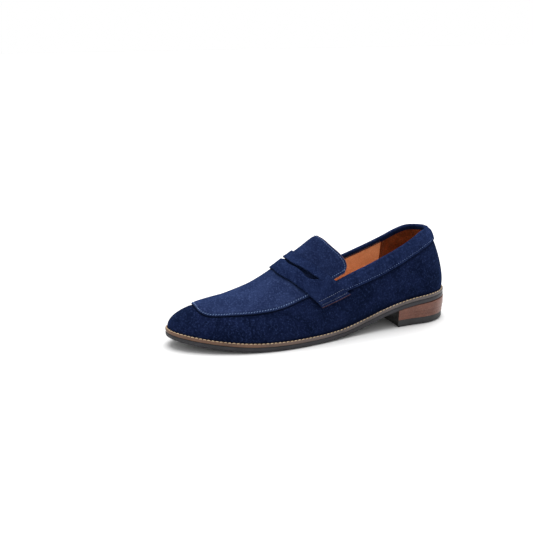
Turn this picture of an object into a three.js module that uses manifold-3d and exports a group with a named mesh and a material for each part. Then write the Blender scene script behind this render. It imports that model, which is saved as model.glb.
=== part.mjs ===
// Penny loafer, left shoe, about EU 42. Millimetres: +Z up, toe towards -Y, outer side of the foot
// towards +X, origin on the floor under the middle of the sole.
//
// The shoe is built the way a shoemaker builds it, round a last. A place on the last is given by
//   c    how far along it is, 0 at the heel back and 1 at the toe tip
//   v    how far up it is, 0 at the feather edge (where upper meets sole) and 1 on the top ridge
//   side 1 on the outer side of the foot, -1 on the inner side
// Every panel of the upper is a skin that starts and ends at its own heights above that surface.

import * as THREE from "three";
import { mergeVertices } from "three/addons/utils/BufferGeometryUtils.js";
import Module from "manifold-3d";

const wasm = await Module();
wasm.setup();

// ---------------------------------------------------------------- driving dimensions

const LAST_LENGTH = 290;
const HEEL_AXIS_X = -2.83; // the last's centre line at the heel, from the middle of the sole
const MIDDLE_S = 145; // the origin's distance from the back of the last
const RIDGE_FROM_HEEL = 38; // the ridge starts this far in from the heel back
const RIDGE_FROM_TOE = 52; // and ends this far short of the toe tip
const HEEL_ROUND = 0.12; // share of the length that the heel's round takes
const TOE_ROUND = 0.4; // share of the length that the toe's round takes
const HEEL_SQUARENESS = 2.2;
const TOE_SQUARENESS = 2.5;

const DROP_POWER = 6; // how near the sole the flanks' drop to it stays
const FEATHER = 8.5; // height of the feather edge above the sole's underside
const OUTSOLE = [0, 4.7]; // heights above the sole's underside, from here down to HEEL_PAD
const WELT = [5.0, 8.2];
const CORK = [5.0, 8.2];
const SHANK = [5.7, 7.5];
const INSOLE = [8.5, 10.5];
const HEEL_PAD = [10.8, 12.6];
const PAD_END = 78; // front end of the heel pad, from the back of the last
const SOCK_THICKNESS = 1.2;
const SOLE_OVERHANG = 5;
const WELT_SEAM = 4.1; // how far out the seam that joins welt and outsole runs
const WELT_INSET = -3.6;
const RIB_INSET = -4.9;
const CORK_INSET = -5.2;
const INSOLE_INSET = -1.5;
const SOCK_INSET = -1.9;
const PAD_INSET = -5;
const SHANK_HALF_WIDTH = 7;
const SHANK_ENDS = [0.15, 0.52];

const LINING = [-1.0, 0]; // heights above the last, from here down to STRAP
const STIFFENER = [0.3, 1.1];
const WALL = [1.4, 2.8];
const TONGUE_LINING = [1.7, 2.8];
const APRON = [3.1, 4.3];
const COLLAR = [3.3, 4.4];
const STRAP = [4.7, 6.3];
const LOWEST_EDGE = 0.012; // v at which the skins of the upper end, just above the welt
const SEAM_OVERLAP = 0.05; // v by which the wall runs in under the apron
const GAP = 0.3; // clearance between pieces that touch on the real shoe
const NET_TURNS = 32; // lines of the skins' net across one half of the shoe
const NET_ROWS = 14; // and from feather edge to ridge

const HEEL_BREAST = 62; // front face of the heel, from the back of the last
const LIFTS = [
  { name: "top_lift", low: 0, high: 7.2, overhang: 2.6 },
  { name: "heel_lift_1", low: 7.5, high: 11, overhang: 3.0 },
  { name: "heel_lift_2", low: 11.3, high: 14.5, overhang: 3.4 },
  { name: "heel_lift_3", low: 14.8, high: null, overhang: 3.9 }, // follows the outsole
];
const NAIL = { radius: 0.9, head: 1.7, headFrom: 0.7, headTo: 1.7, length: 12.2, inset: -8 };
const NAIL_PLACES = [[0, 1], [0.055, 1], [0.055, -1], [0.15, 1], [0.15, -1]]; // c and side

// ---------------------------------------------------------------- curves of the last

/** Smooth curve through a few points, straight on past both ends. */
function curve(xs, ys) {
  const slopes = xs.slice(1).map((x, i) => (ys[i + 1] - ys[i]) / (x - xs[i]));
  const tangents = ys.map((_, i) => {
    if (i === 0) return slopes[0];
    if (i === xs.length - 1) return slopes[i - 1];
    const before = xs[i] - xs[i - 1];
    const after = xs[i + 1] - xs[i];
    return (slopes[i - 1] * after + slopes[i] * before) / (before + after);
  });
  return (x) => {
    const last = xs.length - 1;
    if (x < xs[0]) return ys[0] + tangents[0] * (x - xs[0]);
    if (x > xs[last]) return ys[last] + tangents[last] * (x - xs[last]);
    const i = Math.min(xs.findIndex((end, k) => k > 0 && x <= end), last) - 1;
    const h = xs[i + 1] - xs[i];
    const t = (x - xs[i]) / h;
    const rise = t * t * (3 - 2 * t);
    const bend = tangents[i] * t * (1 - t) ** 2 - tangents[i + 1] * t * t * (1 - t);
    return ys[i] + (ys[i + 1] - ys[i]) * rise + h * bend;
  };
}

const outerHalfWidth = curve(
  [0, 0.1, 0.22, 0.36, 0.5, 0.62, 0.72, 0.82, 1], [31, 30.7, 31.7, 34.8, 41.5, 45.8, 46.5, 45, 38]);
const innerHalfWidth = curve(
  [0, 0.1, 0.22, 0.36, 0.5, 0.62, 0.7, 0.82, 1], [29.9, 30.1, 28.1, 27.5, 33, 39.7, 40.8, 42, 34.7]);
const centreLine = curve([0, 0.35, 0.6, 0.8, 1], [0, 0, 0.5, -1.5, -6]);
const solePitch = curve(
  [-8, 20, 45, 60, 80, 100, 120, 145, 170, 196, 225, 255, 300],
  [23.4, 22.8, 20.6, 18.2, 13.4, 7.6, 2.9, 0.4, 0, 0, 1.0, 4.0, 10.5]);
const soleUnderside = (s) => Math.max(solePitch(s), 0); // the ball of the foot lies flat on the floor
const flankBase = curve( // what the flanks of the last rise from; they drop to the sole at their lowest
  [-8, 40, 80, 120, 150, 178, 196, 225, 255, 300], [21, 20.5, 18.5, 9.5, 3.2, 0.3, 0, 0.9, 3.8, 10.5]);
const ridgeHeight = curve([0, 0.2, 0.4, 0.6, 0.8, 0.9, 1], [117.6, 116, 104, 79.5, 53.2, 45.7, 41.8]);
const shoulderReach = curve([0, 0.15, 0.35, 0.6, 0.8, 1], [0.469, 0.383, 0.381, 0.373, 0.449, 0.53]);
const flankReach = curve([0, 0.2, 0.5, 0.8, 1], [1.128, 1.095, 1.108, 1.083, 1.037]);
const flankHeight = curve([0, 0.2, 0.5, 0.8, 1], [0.311, 0.399, 0.363, 0.382, 0.489]);

/** Share of the full width that the sole's outline has at c: it closes in a round at both ends. */
function roundOff(c) {
  const heel = Math.max(1 - c / HEEL_ROUND, 0);
  const toe = Math.max(1 - (1 - c) / TOE_ROUND, 0);
  return Math.sqrt(1 - heel ** HEEL_SQUARENESS) * Math.sqrt(Math.max(1 - toe ** TOE_SQUARENESS, 0));
}

/** Point of the feather edge as [x, s], s being the distance from the back of the last. */
function featherEdge(c, side) {
  const halfWidth = side > 0 ? outerHalfWidth(c) : innerHalfWidth(c);
  return [centreLine(c) + side * halfWidth * roundOff(c), LAST_LENGTH * c];
}

/** Point of the last's surface as [x, s, z]: each cross curve is a cubic from feather edge to ridge. */
function lastPoint(c, v, side) {
  const [edgeX, edgeS] = featherEdge(c, side);
  const ridgeLength = LAST_LENGTH - RIDGE_FROM_HEEL - RIDGE_FROM_TOE;
  const ridgeS = RIDGE_FROM_HEEL + ridgeLength * c;
  const ridgeX = centreLine(ridgeS / LAST_LENGTH);
  const step = 0.004;
  const before = Math.max(c - step, 0);
  const after = Math.min(c + step, 1);
  const ridgeSlope = (ridgeHeight(after) - ridgeHeight(before)) / (after - before) / ridgeLength;
  const u = 1 - v;
  const reach = u ** 3 + 3 * u * u * v * flankReach(c) + 3 * u * v * v * shoulderReach(c);
  const rise = 3 * u * u * v * flankHeight(c) + 3 * u * v * v + v ** 3;
  const low = flankBase(edgeS) + FEATHER;
  const drop = (soleUnderside(edgeS) - flankBase(edgeS)) * u ** DROP_POWER;
  const lean = 3 * u * v * v * shoulderReach(c) * ridgeSlope * (edgeS - ridgeS);
  return new THREE.Vector3(
    ridgeX + (edgeX - ridgeX) * reach,
    ridgeS + (edgeS - ridgeS) * reach,
    low + (ridgeHeight(c) - low) * rise + lean + drop,
  );
}

/** Unit vector that points out of the last at a place on it. */
function lastNormal(c, v, side) {
  const step = 1e-4;
  if (v > 1 - step) {
    const along = lastPoint(Math.min(c + step, 1), 1, 1).sub(lastPoint(Math.max(c - step, 0), 1, 1));
    return new THREE.Vector3(0, -along.z, along.y).normalize();
  }
  const up = lastPoint(c, v + step, side).sub(lastPoint(c, Math.max(v - step, 0), side));
  const room = Math.min(step, c / 2, (1 - c) / 2);
  const atEnd = room < 1e-9;
  const inward = c < 0.5 ? step : 1 - step;
  const along = atEnd
    ? lastPoint(inward, v, c < 0.5 ? 1 : -1).sub(lastPoint(inward, v, c < 0.5 ? -1 : 1))
    : lastPoint(c + room, v, side).sub(lastPoint(c - room, v, side)).multiplyScalar(side);
  return along.cross(up).normalize();
}

/** Place at a height above the last, in the part's own frame. */
function above(c, v, side, height) {
  const point = lastPoint(c, v, side).addScaledVector(lastNormal(c, v, side), height);
  return new THREE.Vector3(point.x + HEEL_AXIS_X, MIDDLE_S - point.y, point.z);
}

/** Point of the sole's outline, moved out from the feather edge, at a height above the underside. */
function onSole(c, side, overhang, height) {
  const [x, s] = featherEdge(c, side);
  const step = 1e-4;
  const [x0, s0] = featherEdge(Math.max(c - step, 0), side);
  const [x1, s1] = featherEdge(Math.min(c + step, 1), side);
  const out = new THREE.Vector2((s1 - s0) * side, (x0 - x1) * side);
  if (c < 1e-6) out.set(0, -1);
  if (c > 1 - 1e-6) out.set(0, 1);
  out.setLength(overhang < 0 ? -overhang : overhang).multiplyScalar(Math.sign(overhang));
  const level = typeof height === "function" ? height(s + out.y) : soleUnderside(s + out.y) + height;
  return new THREE.Vector3(x + out.x + HEEL_AXIS_X, MIDDLE_S - s - out.y, level);
}

// ---------------------------------------------------------------- solids

/** Closed mesh through a row of sections with equal point counts, closed on itself or capped. */
function loft(sections, { endless = false, joinedAt = -1 } = {}) {
  const size = sections[0].length;
  const at = (row, k) => (row % sections.length) * size + (k % size);
  const index = [];
  const quad = (a, b, c, d) => index.push(a, b, c, a, c, d);
  for (let row = 0; row < sections.length - (endless ? 0 : 1); row++) {
    for (let k = 0; k < size; k++) {
      if (k !== joinedAt) quad(at(row, k), at(row, k + 1), at(row + 1, k + 1), at(row + 1, k));
    }
  }
  if (!endless) {
    const end = sections.length - 1;
    for (let k = 0; k < size / 2 - 1; k++) {
      quad(at(0, size - 1 - k), at(0, size - 2 - k), at(0, k + 1), at(0, k));
      quad(at(end, k), at(end, k + 1), at(end, size - 2 - k), at(end, size - 1 - k));
    }
  }
  return closedMesh(sections.flat(), index);
}

/** Merges equal points, drops faces that have shrunk to a line, and turns all faces outwards. */
function closedMesh(points, index) {
  const loose = new THREE.BufferGeometry().setFromPoints(points);
  loose.setIndex(index);
  const merged = mergeVertices(loose, 1e-4);
  const at = (i) => new THREE.Vector3().fromBufferAttribute(merged.attributes.position, i);
  const corners = merged.index.array;
  const faces = [];
  let volume = 0;
  for (let i = 0; i < corners.length; i += 3) {
    const [a, b, c] = corners.slice(i, i + 3);
    if (a === b || b === c || c === a) continue;
    faces.push([a, b, c]);
    volume += at(a).dot(at(b).cross(at(c)));
  }
  merged.setIndex(faces.flatMap(([a, b, c]) => (volume > 0 ? [a, b, c] : [a, c, b])));
  return merged;
}

/** The solid that the manifold library works on. */
function toSolid(geometry) {
  const bare = new THREE.BufferGeometry();
  bare.setAttribute("position", geometry.attributes.position);
  bare.setIndex(geometry.index);
  const closed = mergeVertices(bare, 1e-4);
  return new wasm.Manifold(new wasm.Mesh({
    numProp: 3,
    vertProperties: new Float32Array(closed.attributes.position.array),
    triVerts: new Uint32Array(closed.index.array),
  }));
}

/** A piece with other pieces cut away from it. */
function cut(geometry, ...cutters) {
  const solid = cutters.reduce((rest, cutter) => rest.subtract(toSolid(cutter)), toSolid(geometry));
  const { vertProperties, triVerts } = solid.getMesh();
  const result = new THREE.BufferGeometry();
  result.setAttribute("position", new THREE.BufferAttribute(vertProperties, 3));
  result.setIndex(new THREE.BufferAttribute(triVerts, 1));
  return result;
}

const steps = (count) => Array.from({ length: count + 1 }, (_, i) => i / count);

// A turn runs round the shoe: 0 at the heel back, 1 at the toe tip by way of the outer side, and on
// to 2 at the heel back by way of the inner side. Below 0 it goes up the inner side.
const turnAt = (c) => Math.acos(1 - 2 * c) / Math.PI;

function placeOnTurn(turn) {
  const side = turn < 0 || turn > 1 ? -1 : 1;
  return { c: (1 - Math.cos(Math.PI * turn)) / 2, side };
}

// All skins share one net of lines over the last, so that stacked skins keep their distance from
// each other. A panel takes the part of the net inside its outline: lines outside it are pulled in.
const clamp = THREE.MathUtils.clamp;
const netTurns = (first, last) => steps((last - first) * NET_TURNS).map((x) => first + (last - first) * x);
const netHeights = steps(NET_ROWS);

/** Skin that runs along the shoe: ends depend on v, edges on c, and joined skins meet on the ridge. */
function panel({ ends, low, high, heights, joined = false }) {
  const sections = netTurns(-1, 2).map((netTurn) => {
    const line = (height) => netHeights.map((netV) => {
      let v = netV;
      let place = placeOnTurn(netTurn);
      for (let round = 0; round < 10; round++) {
        place = placeOnTurn(clamp(netTurn, ...ends(v)));
        v = clamp(netV, low(place.c), high(place.c));
      }
      return above(place.c, v, place.side, height);
    });
    return [...line(heights[1]), ...line(heights[0]).reverse()];
  });
  return loft(sections, { joinedAt: joined ? NET_ROWS : -1 });
}

/** Skin that runs over the shoe from side to side; g is 0 on the ridge and 1 at the feather edge. */
function crossPanel({ reach, rear, front, heights }) {
  const sections = steps(2 * NET_ROWS).map((across) => {
    const signed = clamp(2 * across - 1, -reach, reach);
    const g = Math.abs(signed);
    const line = (height) => netTurns(0, 1).map((turn) => {
      const c = clamp(placeOnTurn(turn).c, rear(g), front(g));
      return above(c, 1 - g, signed < 0 ? -1 : 1, height);
    });
    return [...line(heights[1]), ...line(heights[0]).reverse()];
  });
  return loft(sections);
}

/** Flat-lying layer of the sole, over the whole outline or a stretch of it. */
function plate({ levels, overhang, ends = [0, 1], stations = 32 }) {
  const sections = steps(stations).map((along) => {
    const turns = ends.map(turnAt);
    const { c } = placeOnTurn(turns[0] + (turns[1] - turns[0]) * along);
    const corner = (side, level) => onSole(c, side, overhang, level);
    return [corner(1, levels[0]), corner(1, levels[1]), corner(-1, levels[1]), corner(-1, levels[0])];
  });
  return loft(sections);
}

/** Strip of the sole's edge that runs right round the shoe. */
function hoop({ levels, inner, outer, stations = 64 }) {
  const sections = steps(stations).slice(0, -1).map((along) => {
    const { c, side } = placeOnTurn(2 * along);
    const corner = (overhang, level) => onSole(c, side, overhang, level);
    const [low, high] = levels;
    return [corner(inner, low), corner(inner, high), corner(outer, high), corner(outer, low)];
  });
  return loft(sections, { endless: true });
}

/** Sewing thread along a row of points, with four sides. */
function thread(points, radius, endless = false) {
  const count = points.length;
  const pick = (i) => points[endless ? (i + count) % count : Math.min(Math.max(i, 0), count - 1)];
  const sections = points.map((point, i) => {
    const along = pick(i + 1).clone().sub(pick(i - 1)).normalize();
    const sideways = new THREE.Vector3(0, 0, 1).cross(along).setLength(radius);
    const upwards = along.clone().cross(sideways).setLength(radius);
    return [
      point.clone().add(sideways),
      point.clone().add(upwards),
      point.clone().sub(sideways),
      point.clone().sub(upwards),
    ];
  });
  return loft(sections, { endless });
}

// ---------------------------------------------------------------- the object

const shoe = new THREE.Group();

function addPiece(name, geometry, color, roughness) {
  geometry.computeVertexNormals();
  const material = new THREE.MeshStandardMaterial({ color, roughness, metalness: 0 });
  const mesh = new THREE.Mesh(geometry, material);
  mesh.name = name;
  shoe.add(mesh);
  return mesh;
}

const SUEDE = 0x1f3566;
const SUEDE_LIGHT = 0x2c4680;
const THREAD_BLUE = 0x5d7fb5;
const THREAD_CREAM = 0xd9bf93;
const LEATHER_TAN = 0xb5733f;
const LEATHER_BROWN = 0x6b3818;
const WELT_BROWN = 0x54443a;
const RUBBER = 0x26272b;
const STACK_BROWN = 0x7a3d2a;
const CORK_BROWN = 0xb08a5a;
const STEEL = 0x9a9da1;

// Outlines of the upper's panels. Those of strap and tongue are c against g, those of apron, collar
// and topline are v against c.
const strapFront = curve([0, 0.15, 0.45, 0.753], [0.722, 0.698, 0.618, 0.526]);
const strapRear = curve([0, 0.17, 0.45, 0.753], [0.612, 0.588, 0.512, 0.416]);
const underStrapCut = (g) => strapRear(g) + 0.028; // behind the slot, so that the slot shows the apron
const slotRear = curve([0, 0.17, 0.41, 0.515], [0.655, 0.628, 0.56, 0.526]);
const slotWidth = curve([0, 0.3, 0.368, 0.421, 0.465, 0.515], [0.011, 0.011, 0.019, 0.026, 0.024, 0.003]);
const tongueRear = curve(
  [0, 0.12, 0.298, 0.425, 0.495, 0.54, 0.58], [0.494, 0.478, 0.451, 0.423, 0.411, 0.411, 0.424]);
const apronEdge = curve(
  [0.5, 0.6, 0.68, 0.78, 0.86, 0.9, 0.93, 0.96, 1],
  [0.395, 0.391, 0.389, 0.427, 0.446, 0.441, 0.445, 0.503, 0.639]);
const topline = curve(
  [0, 0.05, 0.1, 0.155, 0.23, 0.316, 0.402, 0.456, 0.5],
  [0.605, 0.59, 0.538, 0.478, 0.421, 0.392, 0.395, 0.401, 0.404]);
const collarEdge = curve(
  [0, 0.023, 0.074, 0.126, 0.197, 0.283, 0.366, 0.416, 0.5],
  [0.485, 0.475, 0.435, 0.381, 0.314, 0.268, 0.268, 0.278, 0.3]);

const STRAP_REACH = 0.753;
const SLOT_REACH = 0.515;
const TONGUE_REACH = 0.58;
const TONGUE_GAP = 0.008; // c between the strap's rear edge and the part of the tongue that lifts
const COLLAR_FRONT = turnAt(0.475);
const FOLD = 0.018; // v that the collar's fold over the topline takes
const INNER_FLAP = 0.06; // v that the collar turns down inside
const TUCK = 0.03; // v by which wall and linings stay below the top of the fold
const HEEL_LINING_END = 0.165;
const COUNTER_END = 0.27;
const TOE_PUFF_START = 0.8;
const STIFFENER_FOOT = 0.03; // v at which toe puff and heel counter start
const COUNTER_BELOW_COLLAR = 0.02;

function addSole() {
  addPiece("outsole", plate({ levels: OUTSOLE, overhang: SOLE_OVERHANG }), RUBBER, 0.6);
  addPiece("welt", hoop({ levels: WELT, inner: WELT_INSET, outer: SOLE_OVERHANG }), WELT_BROWN, 0.5);
  const rib = hoop({ levels: WELT, inner: RIB_INSET, outer: WELT_INSET - GAP });
  addPiece("insole_rib", rib, CORK_BROWN, 0.9);

  const shankPlate = (spare) => {
    const [start, end] = SHANK_ENDS;
    const levels = [SHANK[0] - spare, spare ? CORK[1] + 1 : SHANK[1]];
    const half = SHANK_HALF_WIDTH + spare;
    const sections = steps(8).map((along) => {
      const c = start + (end - start) * along + (along - 0.5) * spare * 0.01;
      const s = LAST_LENGTH * c;
      const corner = (side, level) => new THREE.Vector3(
        centreLine(c) + side * half + HEEL_AXIS_X, MIDDLE_S - s, soleUnderside(s) + level);
      return [corner(1, levels[0]), corner(1, levels[1]), corner(-1, levels[1]), corner(-1, levels[0])];
    });
    return loft(sections);
  };
  const cork = plate({ levels: CORK, overhang: CORK_INSET });
  addPiece("cork_filler", cut(cork, shankPlate(0.4)), CORK_BROWN, 0.95);
  addPiece("shank", shankPlate(0), STEEL, 0.4);
  addPiece("insole", plate({ levels: INSOLE, overhang: INSOLE_INSET }), LEATHER_TAN, 0.8);
  const pad = plate({ levels: HEEL_PAD, overhang: PAD_INSET, ends: [0, PAD_END / LAST_LENGTH], stations: 16 });
  addPiece("heel_pad", pad, CORK_BROWN, 0.9);
  const padRise = HEEL_PAD[1] - HEEL_PAD[0];
  const padSlope = (s) => padRise * (1 - THREE.MathUtils.smoothstep(s, PAD_END, PAD_END + 20));
  const sockFace = (rise) => (s) => soleUnderside(s) + INSOLE[1] + 2 * GAP + padSlope(s) + rise;
  const sock = [sockFace(0), sockFace(SOCK_THICKNESS)];
  addPiece("sock_liner", plate({ levels: sock, overhang: SOCK_INSET }), LEATHER_TAN, 0.55);
  const weltThread = steps(120).slice(0, -1).map((along) => {
    const { c, side } = placeOnTurn(2 * along);
    return onSole(c, side, WELT_SEAM, WELT[1] + GAP + 0.4);
  });
  addPiece("welt_stitching", thread(weltThread, 0.4, true), THREAD_CREAM, 0.7);
}

/** Round nail with its head down, or the hole for it when there is spare room. */
function nailShape(spare) {
  const { radius, head, headFrom, headTo, length } = NAIL;
  const bottom = spare ? -1 : headFrom;
  const profile = [
    [0, bottom], [head + spare, bottom], [head + spare, headTo + spare], [radius + spare, headTo + spare],
    [radius + spare, length + spare], [0, length + spare],
  ];
  const geometry = new THREE.LatheGeometry(profile.map(([r, z]) => new THREE.Vector2(r, z)), 8);
  geometry.deleteAttribute("normal");
  geometry.deleteAttribute("uv");
  geometry.rotateX(Math.PI / 2);
  return closedMesh(pointsOf(geometry), Array.from(geometry.index.array));
}

function pointsOf(geometry) {
  const position = geometry.attributes.position;
  const pointAt = (_, i) => new THREE.Vector3().fromBufferAttribute(position, i);
  return Array.from({ length: position.count }, pointAt);
}

function addHeel() {
  const places = NAIL_PLACES.map(([c, side]) => onSole(c, side, NAIL.inset, () => 0));
  const front = new THREE.BoxGeometry(200, 100, 100);
  front.deleteAttribute("normal");
  front.deleteAttribute("uv");
  front.translate(0, MIDDLE_S - HEEL_BREAST - 50, 0);
  for (const { name, low, high, overhang } of LIFTS) {
    const top = high === null ? (s) => soleUnderside(s) - GAP : () => high;
    const block = plate({ levels: [() => low, top], overhang, ends: [0, 0.26], stations: 18 });
    const drilled = low < NAIL.length;
    const holes = places.map((place) => nailShape(0.4).translate(place.x, place.y, 0));
    const color = name === "top_lift" ? RUBBER : STACK_BROWN;
    addPiece(name, cut(block, front, ...(drilled ? holes : [])), color, 0.5);
  }
  places.forEach((place, i) => {
    addPiece(`heel_nail_${i + 1}`, nailShape(0), STEEL, 0.4).position.set(place.x, place.y, 0);
  });
}

const fromEdge = () => LOWEST_EDGE;
const toRidge = () => 1;
const cutTurn = (g, shift) => turnAt(underStrapCut(g) + shift);

/** Ends of a panel that goes round the toe and stops under the strap on both sides. */
const underStrap = (shift) => (v) => [cutTurn(1 - v, shift), 2 - cutTurn(1 - v, shift)];

function addLinings() {
  addPiece("vamp_lining", panel({
    ends: underStrap(0.003), low: fromEdge, high: toRidge, heights: LINING, joined: true,
  }), LEATHER_TAN, 0.6);
  const lining = { low: fromEdge, high: (c) => topline(c) - TUCK, heights: LINING };
  const quarterBack = turnAt(HEEL_LINING_END + 0.002);
  const quarterFront = (v) => cutTurn(1 - v, -0.003);
  const outerEnds = (v) => [quarterBack, quarterFront(v)];
  const innerEnds = (v) => [2 - quarterFront(v), 2 - quarterBack];
  addPiece("lining_outer", panel({ ...lining, ends: outerEnds }), LEATHER_TAN, 0.6);
  addPiece("lining_inner", panel({ ...lining, ends: innerEnds }), LEATHER_TAN, 0.6);
  const heelEnd = turnAt(HEEL_LINING_END - 0.002);
  addPiece("heel_lining", panel({ ...lining, ends: () => [-heelEnd, heelEnd] }), LEATHER_BROWN, 0.7);
}

function addStiffeners() {
  const puffStart = turnAt(TOE_PUFF_START);
  addPiece("toe_puff", panel({
    ends: () => [puffStart, 2 - puffStart],
    low: () => STIFFENER_FOOT,
    high: toRidge,
    heights: STIFFENER,
    joined: true,
  }), CORK_BROWN, 0.9);
  const counterEnd = turnAt(COUNTER_END);
  addPiece("heel_counter", panel({
    ends: () => [-counterEnd, counterEnd],
    low: () => STIFFENER_FOOT,
    high: (c) => collarEdge(c) - COUNTER_BELOW_COLLAR,
    heights: STIFFENER,
  }), CORK_BROWN, 0.9);
}

function addUpper() {
  const wallTop = (c) => {
    const blend = THREE.MathUtils.smoothstep(c, 0.49, 0.54);
    return THREE.MathUtils.lerp(topline(c) - TUCK, apronEdge(c) + SEAM_OVERLAP, blend);
  };
  addPiece("wall", panel({
    ends: () => [0.008, 1.992], low: fromEdge, high: wallTop, heights: WALL,
  }), SUEDE, 0.95);

  addPiece("apron", panel({
    ends: underStrap(0), low: apronEdge, high: toRidge, heights: APRON, joined: true,
  }), SUEDE_LIGHT, 0.95);

  const strap = crossPanel({ reach: STRAP_REACH, rear: strapRear, front: strapFront, heights: STRAP });
  const slot = crossPanel({
    reach: SLOT_REACH, rear: slotRear, front: (g) => slotRear(g) + slotWidth(g),
    heights: [STRAP[0] - 0.8, STRAP[1] + 0.8],
  });
  addPiece("strap", cut(strap, slot), SUEDE, 0.95);

  const [under, over] = COLLAR;
  const collarSections = netTurns(-1, 1).map((netTurn) => {
    const { c, side } = placeOnTurn(clamp(netTurn, -COLLAR_FRONT, COLLAR_FRONT));
    const top = topline(c);
    const bottom = collarEdge(c);
    const profile = (points) => points.map(([v, height]) => above(c, v, side, height));
    const third = (top - FOLD - bottom) / 3;
    const outside = profile([
      [bottom, over], [bottom + third, over], [bottom + 2 * third, over], [top - FOLD, over],
      [top, over - 1], [top, LINING[0] - 0.5],
      [top - FOLD, LINING[0] - 1.3], [top - INNER_FLAP, LINING[0] - 1.3],
    ]);
    const inside = profile([
      [bottom, under], [bottom + third, under], [bottom + 2 * third, under], [top - FOLD, under],
      [top - FOLD * 0.8, under - 0.5], [top - FOLD * 0.8, LINING[0] - 0.1],
      [top - FOLD, LINING[0] - GAP], [top - INNER_FLAP, LINING[0] - GAP],
    ]);
    return [...outside, ...inside.reverse()];
  });
  addPiece("collar", loft(collarSections), SUEDE, 0.95);
}

function addTongue() {
  const tongue = { reach: TONGUE_REACH, rear: tongueRear, front: (g) => strapRear(g) - TONGUE_GAP };
  addPiece("tongue", crossPanel({ ...tongue, heights: APRON }), SUEDE_LIGHT, 0.95);
  addPiece("tongue_lining", crossPanel({ ...tongue, heights: TONGUE_LINING }), LEATHER_TAN, 0.7);
}

function addStitching() {
  const radius = 0.3;
  const onto = (top) => top + GAP + radius;
  const inset = 0.022;
  const seamRow = (count, from, to, place, height) => thread(steps(count).map((along) => {
    const { c, side } = placeOnTurn(from + (to - from) * along);
    return above(c, place(c), side, onto(height));
  }), radius);
  const apronStart = turnAt(0.585);
  addPiece("apron_stitching",
    seamRow(60, apronStart, 2 - apronStart, (c) => apronEdge(c) + inset, APRON[1]), THREAD_BLUE, 0.7);
  const collarStart = turnAt(0.41);
  addPiece("collar_stitching",
    seamRow(56, -collarStart, collarStart, (c) => collarEdge(c) + inset, COLLAR[1]), THREAD_BLUE, 0.7);
  const tongueRow = steps(32).map((across) => {
    const signed = (2 * across - 1) * (TONGUE_REACH - 0.03);
    const g = Math.abs(signed);
    return above(tongueRear(g) + 0.014, 1 - g, signed < 0 ? -1 : 1, onto(APRON[1]));
  });
  addPiece("tongue_stitching", thread(tongueRow, radius), THREAD_BLUE, 0.7);
  for (const [label, side] of [["outer", 1], ["inner", -1]]) {
    for (const row of [1, 2]) {
      const g = STRAP_REACH - 0.001 - 0.03 * (row === 1 ? 1 : 2.3);
      const line = steps(8).map((along) => {
        const c = strapRear(g) + 0.01 + (strapFront(g) - strapRear(g) - 0.02) * along;
        return above(c, 1 - g, side, onto(STRAP[1]));
      });
      addPiece(`strap_stitching_${label}_${row}`, thread(line, radius), THREAD_BLUE, 0.7);
    }
  }
}

addSole();
addHeel();
addLinings();
addStiffeners();
addUpper();
addTongue();
addStitching();

export default shoe;
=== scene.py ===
import math

import bmesh
import bpy
import numpy as np
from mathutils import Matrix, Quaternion, Vector


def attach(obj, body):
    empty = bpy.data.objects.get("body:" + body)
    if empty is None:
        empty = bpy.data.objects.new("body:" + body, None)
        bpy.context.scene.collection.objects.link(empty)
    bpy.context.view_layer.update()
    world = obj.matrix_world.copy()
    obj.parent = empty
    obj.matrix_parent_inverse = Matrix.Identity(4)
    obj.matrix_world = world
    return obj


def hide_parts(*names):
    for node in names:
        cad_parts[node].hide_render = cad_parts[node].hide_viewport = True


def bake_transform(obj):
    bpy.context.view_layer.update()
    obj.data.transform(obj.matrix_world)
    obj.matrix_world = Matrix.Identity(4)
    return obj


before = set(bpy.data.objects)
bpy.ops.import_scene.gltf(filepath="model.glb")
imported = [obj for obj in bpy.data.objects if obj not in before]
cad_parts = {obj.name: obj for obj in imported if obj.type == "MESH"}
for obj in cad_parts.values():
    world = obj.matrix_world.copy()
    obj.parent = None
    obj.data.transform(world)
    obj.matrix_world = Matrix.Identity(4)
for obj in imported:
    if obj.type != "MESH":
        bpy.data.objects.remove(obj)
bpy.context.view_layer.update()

# ---------------------------------------------------------------------- camera, floor and light
# A long lens at a low three-quarter height, on the shoe's outer side. The floor is plain and pale. The
# light is a wide soft one overhead in an even white room, so the sides fall off darker than the top.

camera_data = bpy.data.cameras.new("camera")
camera_data.lens = 55.35
camera_data.clip_start = 0.01
camera = bpy.data.objects.new("camera", camera_data)
bpy.context.scene.collection.objects.link(camera)
azimuth, elevation, roll = (math.radians(angle) for angle in (69.47, 15.25, -0.82))
away = Vector((
    math.sin(azimuth) * math.cos(elevation), -math.cos(azimuth) * math.cos(elevation), math.sin(elevation)
))
camera.location = (0.7272, -0.3206, 0.2827)
camera.rotation_mode = "QUATERNION"
camera.rotation_quaternion = (-away).to_track_quat("-Z", "Y") @ Quaternion((0, 0, 1), roll)
bpy.context.scene.camera = camera


def new_material(name, roughness=0.5, **sockets):
    """A material with one Principled shader, and its constant values set on the shader itself."""
    material = bpy.data.materials.new(name)
    material.use_nodes = True
    shader = material.node_tree.nodes["Principled BSDF"]
    shader.inputs["Roughness"].default_value = roughness
    for socket, value in sockets.items():
        shader.inputs[socket.replace("_", " ")].default_value = value
    return material, material.node_tree.nodes, material.node_tree.links, shader


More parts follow.
